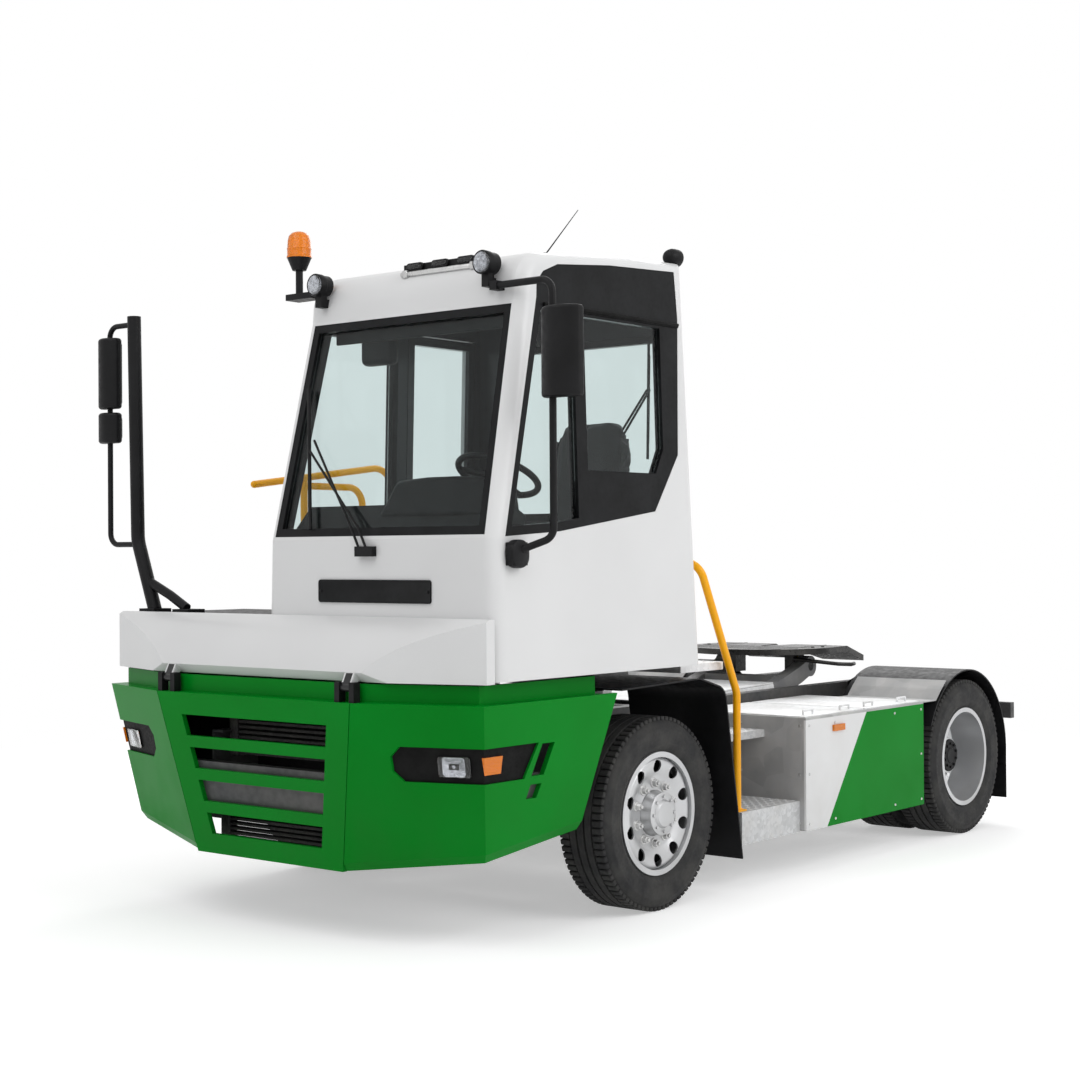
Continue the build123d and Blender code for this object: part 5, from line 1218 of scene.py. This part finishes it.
keep("dashboard_hood", bm, "cab", dark_trim)

bm = bmesh.new()
block(bm, (2.13, -0.03, 2.74), (2.145, 1.06, 2.83), 0.006, 2)
block(bm, (2.06, 0.12, 2.63), (2.138, 0.32, 2.79), 0.03, 4)
keep("sun_visor", bm, "cab", black_moulding)
print("cab inside pieces made")

# %% [markdown]
# ## Seat
# Foam under cloth bulges between its seams. A copy of the plain cushion is drawn in a little,
# its corners are rounded wide, and it is remeshed to even squares. Then a short cloth
# simulation without gravity blows it up, which gives the pull towards the seams that a bevel
# cannot. No point moves further than a set distance. The seat back gets the same.

# %% Seat
furthest_move = 0.02
blow_frames = 20


def padded_copy(node, name, shrink, corner, pressure):
    low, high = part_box(node)
    bm = bmesh.new()
    bm.from_mesh(nodes[node].data)
    bmesh.ops.remove_doubles(bm, verts=bm.verts[:], dist=1e-5)
    middle = (low + high) / 2
    bmesh.ops.translate(bm, vec=-middle, verts=bm.verts[:])
    size = high - low
    bmesh.ops.scale(bm, vec=[1 - 2 * shrink / s for s in size], verts=bm.verts[:])
    bmesh.ops.translate(bm, vec=middle, verts=bm.verts[:])
    flat = [e for e in bm.edges if e.calc_face_angle(0) < radians(1)]
    bmesh.ops.dissolve_edges(bm, edges=flat, use_verts=True)
    along = [e for e in bm.edges if abs(e.verts[0].co.y - e.verts[1].co.y) < 1e-4]
    round_edges(bm, sharp(along, 60), corner, 6)
    mesh = bpy.data.meshes.new(name)
    bm.to_mesh(mesh)
    bm.free()
    mesh.materials.append(seat_cloth)
    made = bpy.data.objects.new(name, mesh)
    scene.collection.objects.link(made)
    bpy.context.view_layer.objects.active = made
    remesh = made.modifiers.new("even_squares", "REMESH")
    remesh.mode = "VOXEL"
    remesh.voxel_size = 0.008
    bpy.ops.object.modifier_apply(modifier=remesh.name)
    rest = [vert.co.copy() for vert in made.data.vertices]
    cloth = made.modifiers.new("blown_up", "CLOTH")
    cloth.settings.use_pressure = True
    cloth.settings.uniform_pressure_force = pressure
    cloth.settings.effector_weights.gravity = 0
    cloth.settings.quality = 5
    cloth.settings.tension_stiffness = cloth.settings.compression_stiffness = 25
    cloth.point_cache.frame_start, cloth.point_cache.frame_end = 1, blow_frames
    for step in range(1, blow_frames + 1):
        scene.frame_set(step)
    bpy.ops.object.modifier_apply(modifier=cloth.name)
    scene.frame_set(1)
    for vert, start in zip(made.data.vertices, rest):
        move = vert.co - start
        if move.length > furthest_move:
            vert.co = start + move.normalized() * furthest_move
    soft = made.modifiers.new("smooth_cloth", "SUBSURF")
    soft.levels = soft.render_levels = 1
    for polygon in made.data.polygons:
        polygon.use_smooth = True
    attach(made, "cab")
    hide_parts(node)
    added.append((name, len(made.data.polygons)))


padded_copy("seat_cushion", "seat_cushion_pad", 0.012, 0.05, 4.0)
padded_copy("seat_back", "seat_back_pad", 0.012, 0.11, 4.0)
print("seat pads:", added[-2:])

# %% [markdown]
# ## Side rail, handle and small trim
# A drip rail runs along the dark upper band of the left side, the door on the right has a bar
# handle on a plate, and a wiper sweeps the rear pane. All are rounded bars and plates. The wiper
# lies on the leaning rear wall, so its points are put there by one small function.

# %% Side rail, handle and small trim
bm = bmesh.new()
rail_z = 2.84
rail_y = cab_left + 0.004 - wall_lean * (rail_z - wall_foot)
rod(bm, (2.07, rail_y, rail_z), (1.035, rail_y, rail_z), 0.009, 10)
block(bm, (1.03, rail_y - 0.008, rail_z - 0.014), (2.06, rail_y + 0.002, rail_z - 0.002), 0.003, 2)
keep("drip_rail", bm, "cab", seal_rubber)


def on_rear_wall(y, z, out):
    return Vector((cab_back + wall_lean * (z - wall_foot) - out, y, z))


bm = bmesh.new()
rod(bm, on_rear_wall(0.93, 2.2, 0.012), on_rear_wall(0.955, 2.8, 0.012), 0.007, 10)
rod(bm, on_rear_wall(0.93, 2.28, 0.022), on_rear_wall(0.95, 2.72, 0.022), 0.005, 8)
for shift in (0, 0.035):
    arm_end = on_rear_wall(0.925 + shift * 0.5, 2.55, 0.028)
    rod(bm, on_rear_wall(0.55 + shift, 2.1, 0.035), arm_end, 0.006, 10)
block(bm, (0.87, 0.52, 2.07), (0.925, 0.62, 2.13), 0.01, 3)
keep("rear_wiper", bm, "cab", seal_rubber)

bm = bmesh.new()
door_y = cab_right + wall_lean * (1.72 - wall_foot)
plate(bm, (1.06, door_y - 0.006, 1.68), (1.19, door_y + 0.004, 1.76), 1, 0.02)
block(bm, (1.08, door_y - 0.034, 1.715), (1.17, door_y - 0.018, 1.735), 0.006, 2)
for x in (1.085, 1.165):
    rod(bm, (x, door_y, 1.725), (x, door_y - 0.026, 1.725), 0.008, 10)
keep("door_handle", bm, "door", black_moulding)
print("pieces so far:", len(added))

# %% Size
print("pieces:", len(added), "faces:", sum(count for _, count in added))
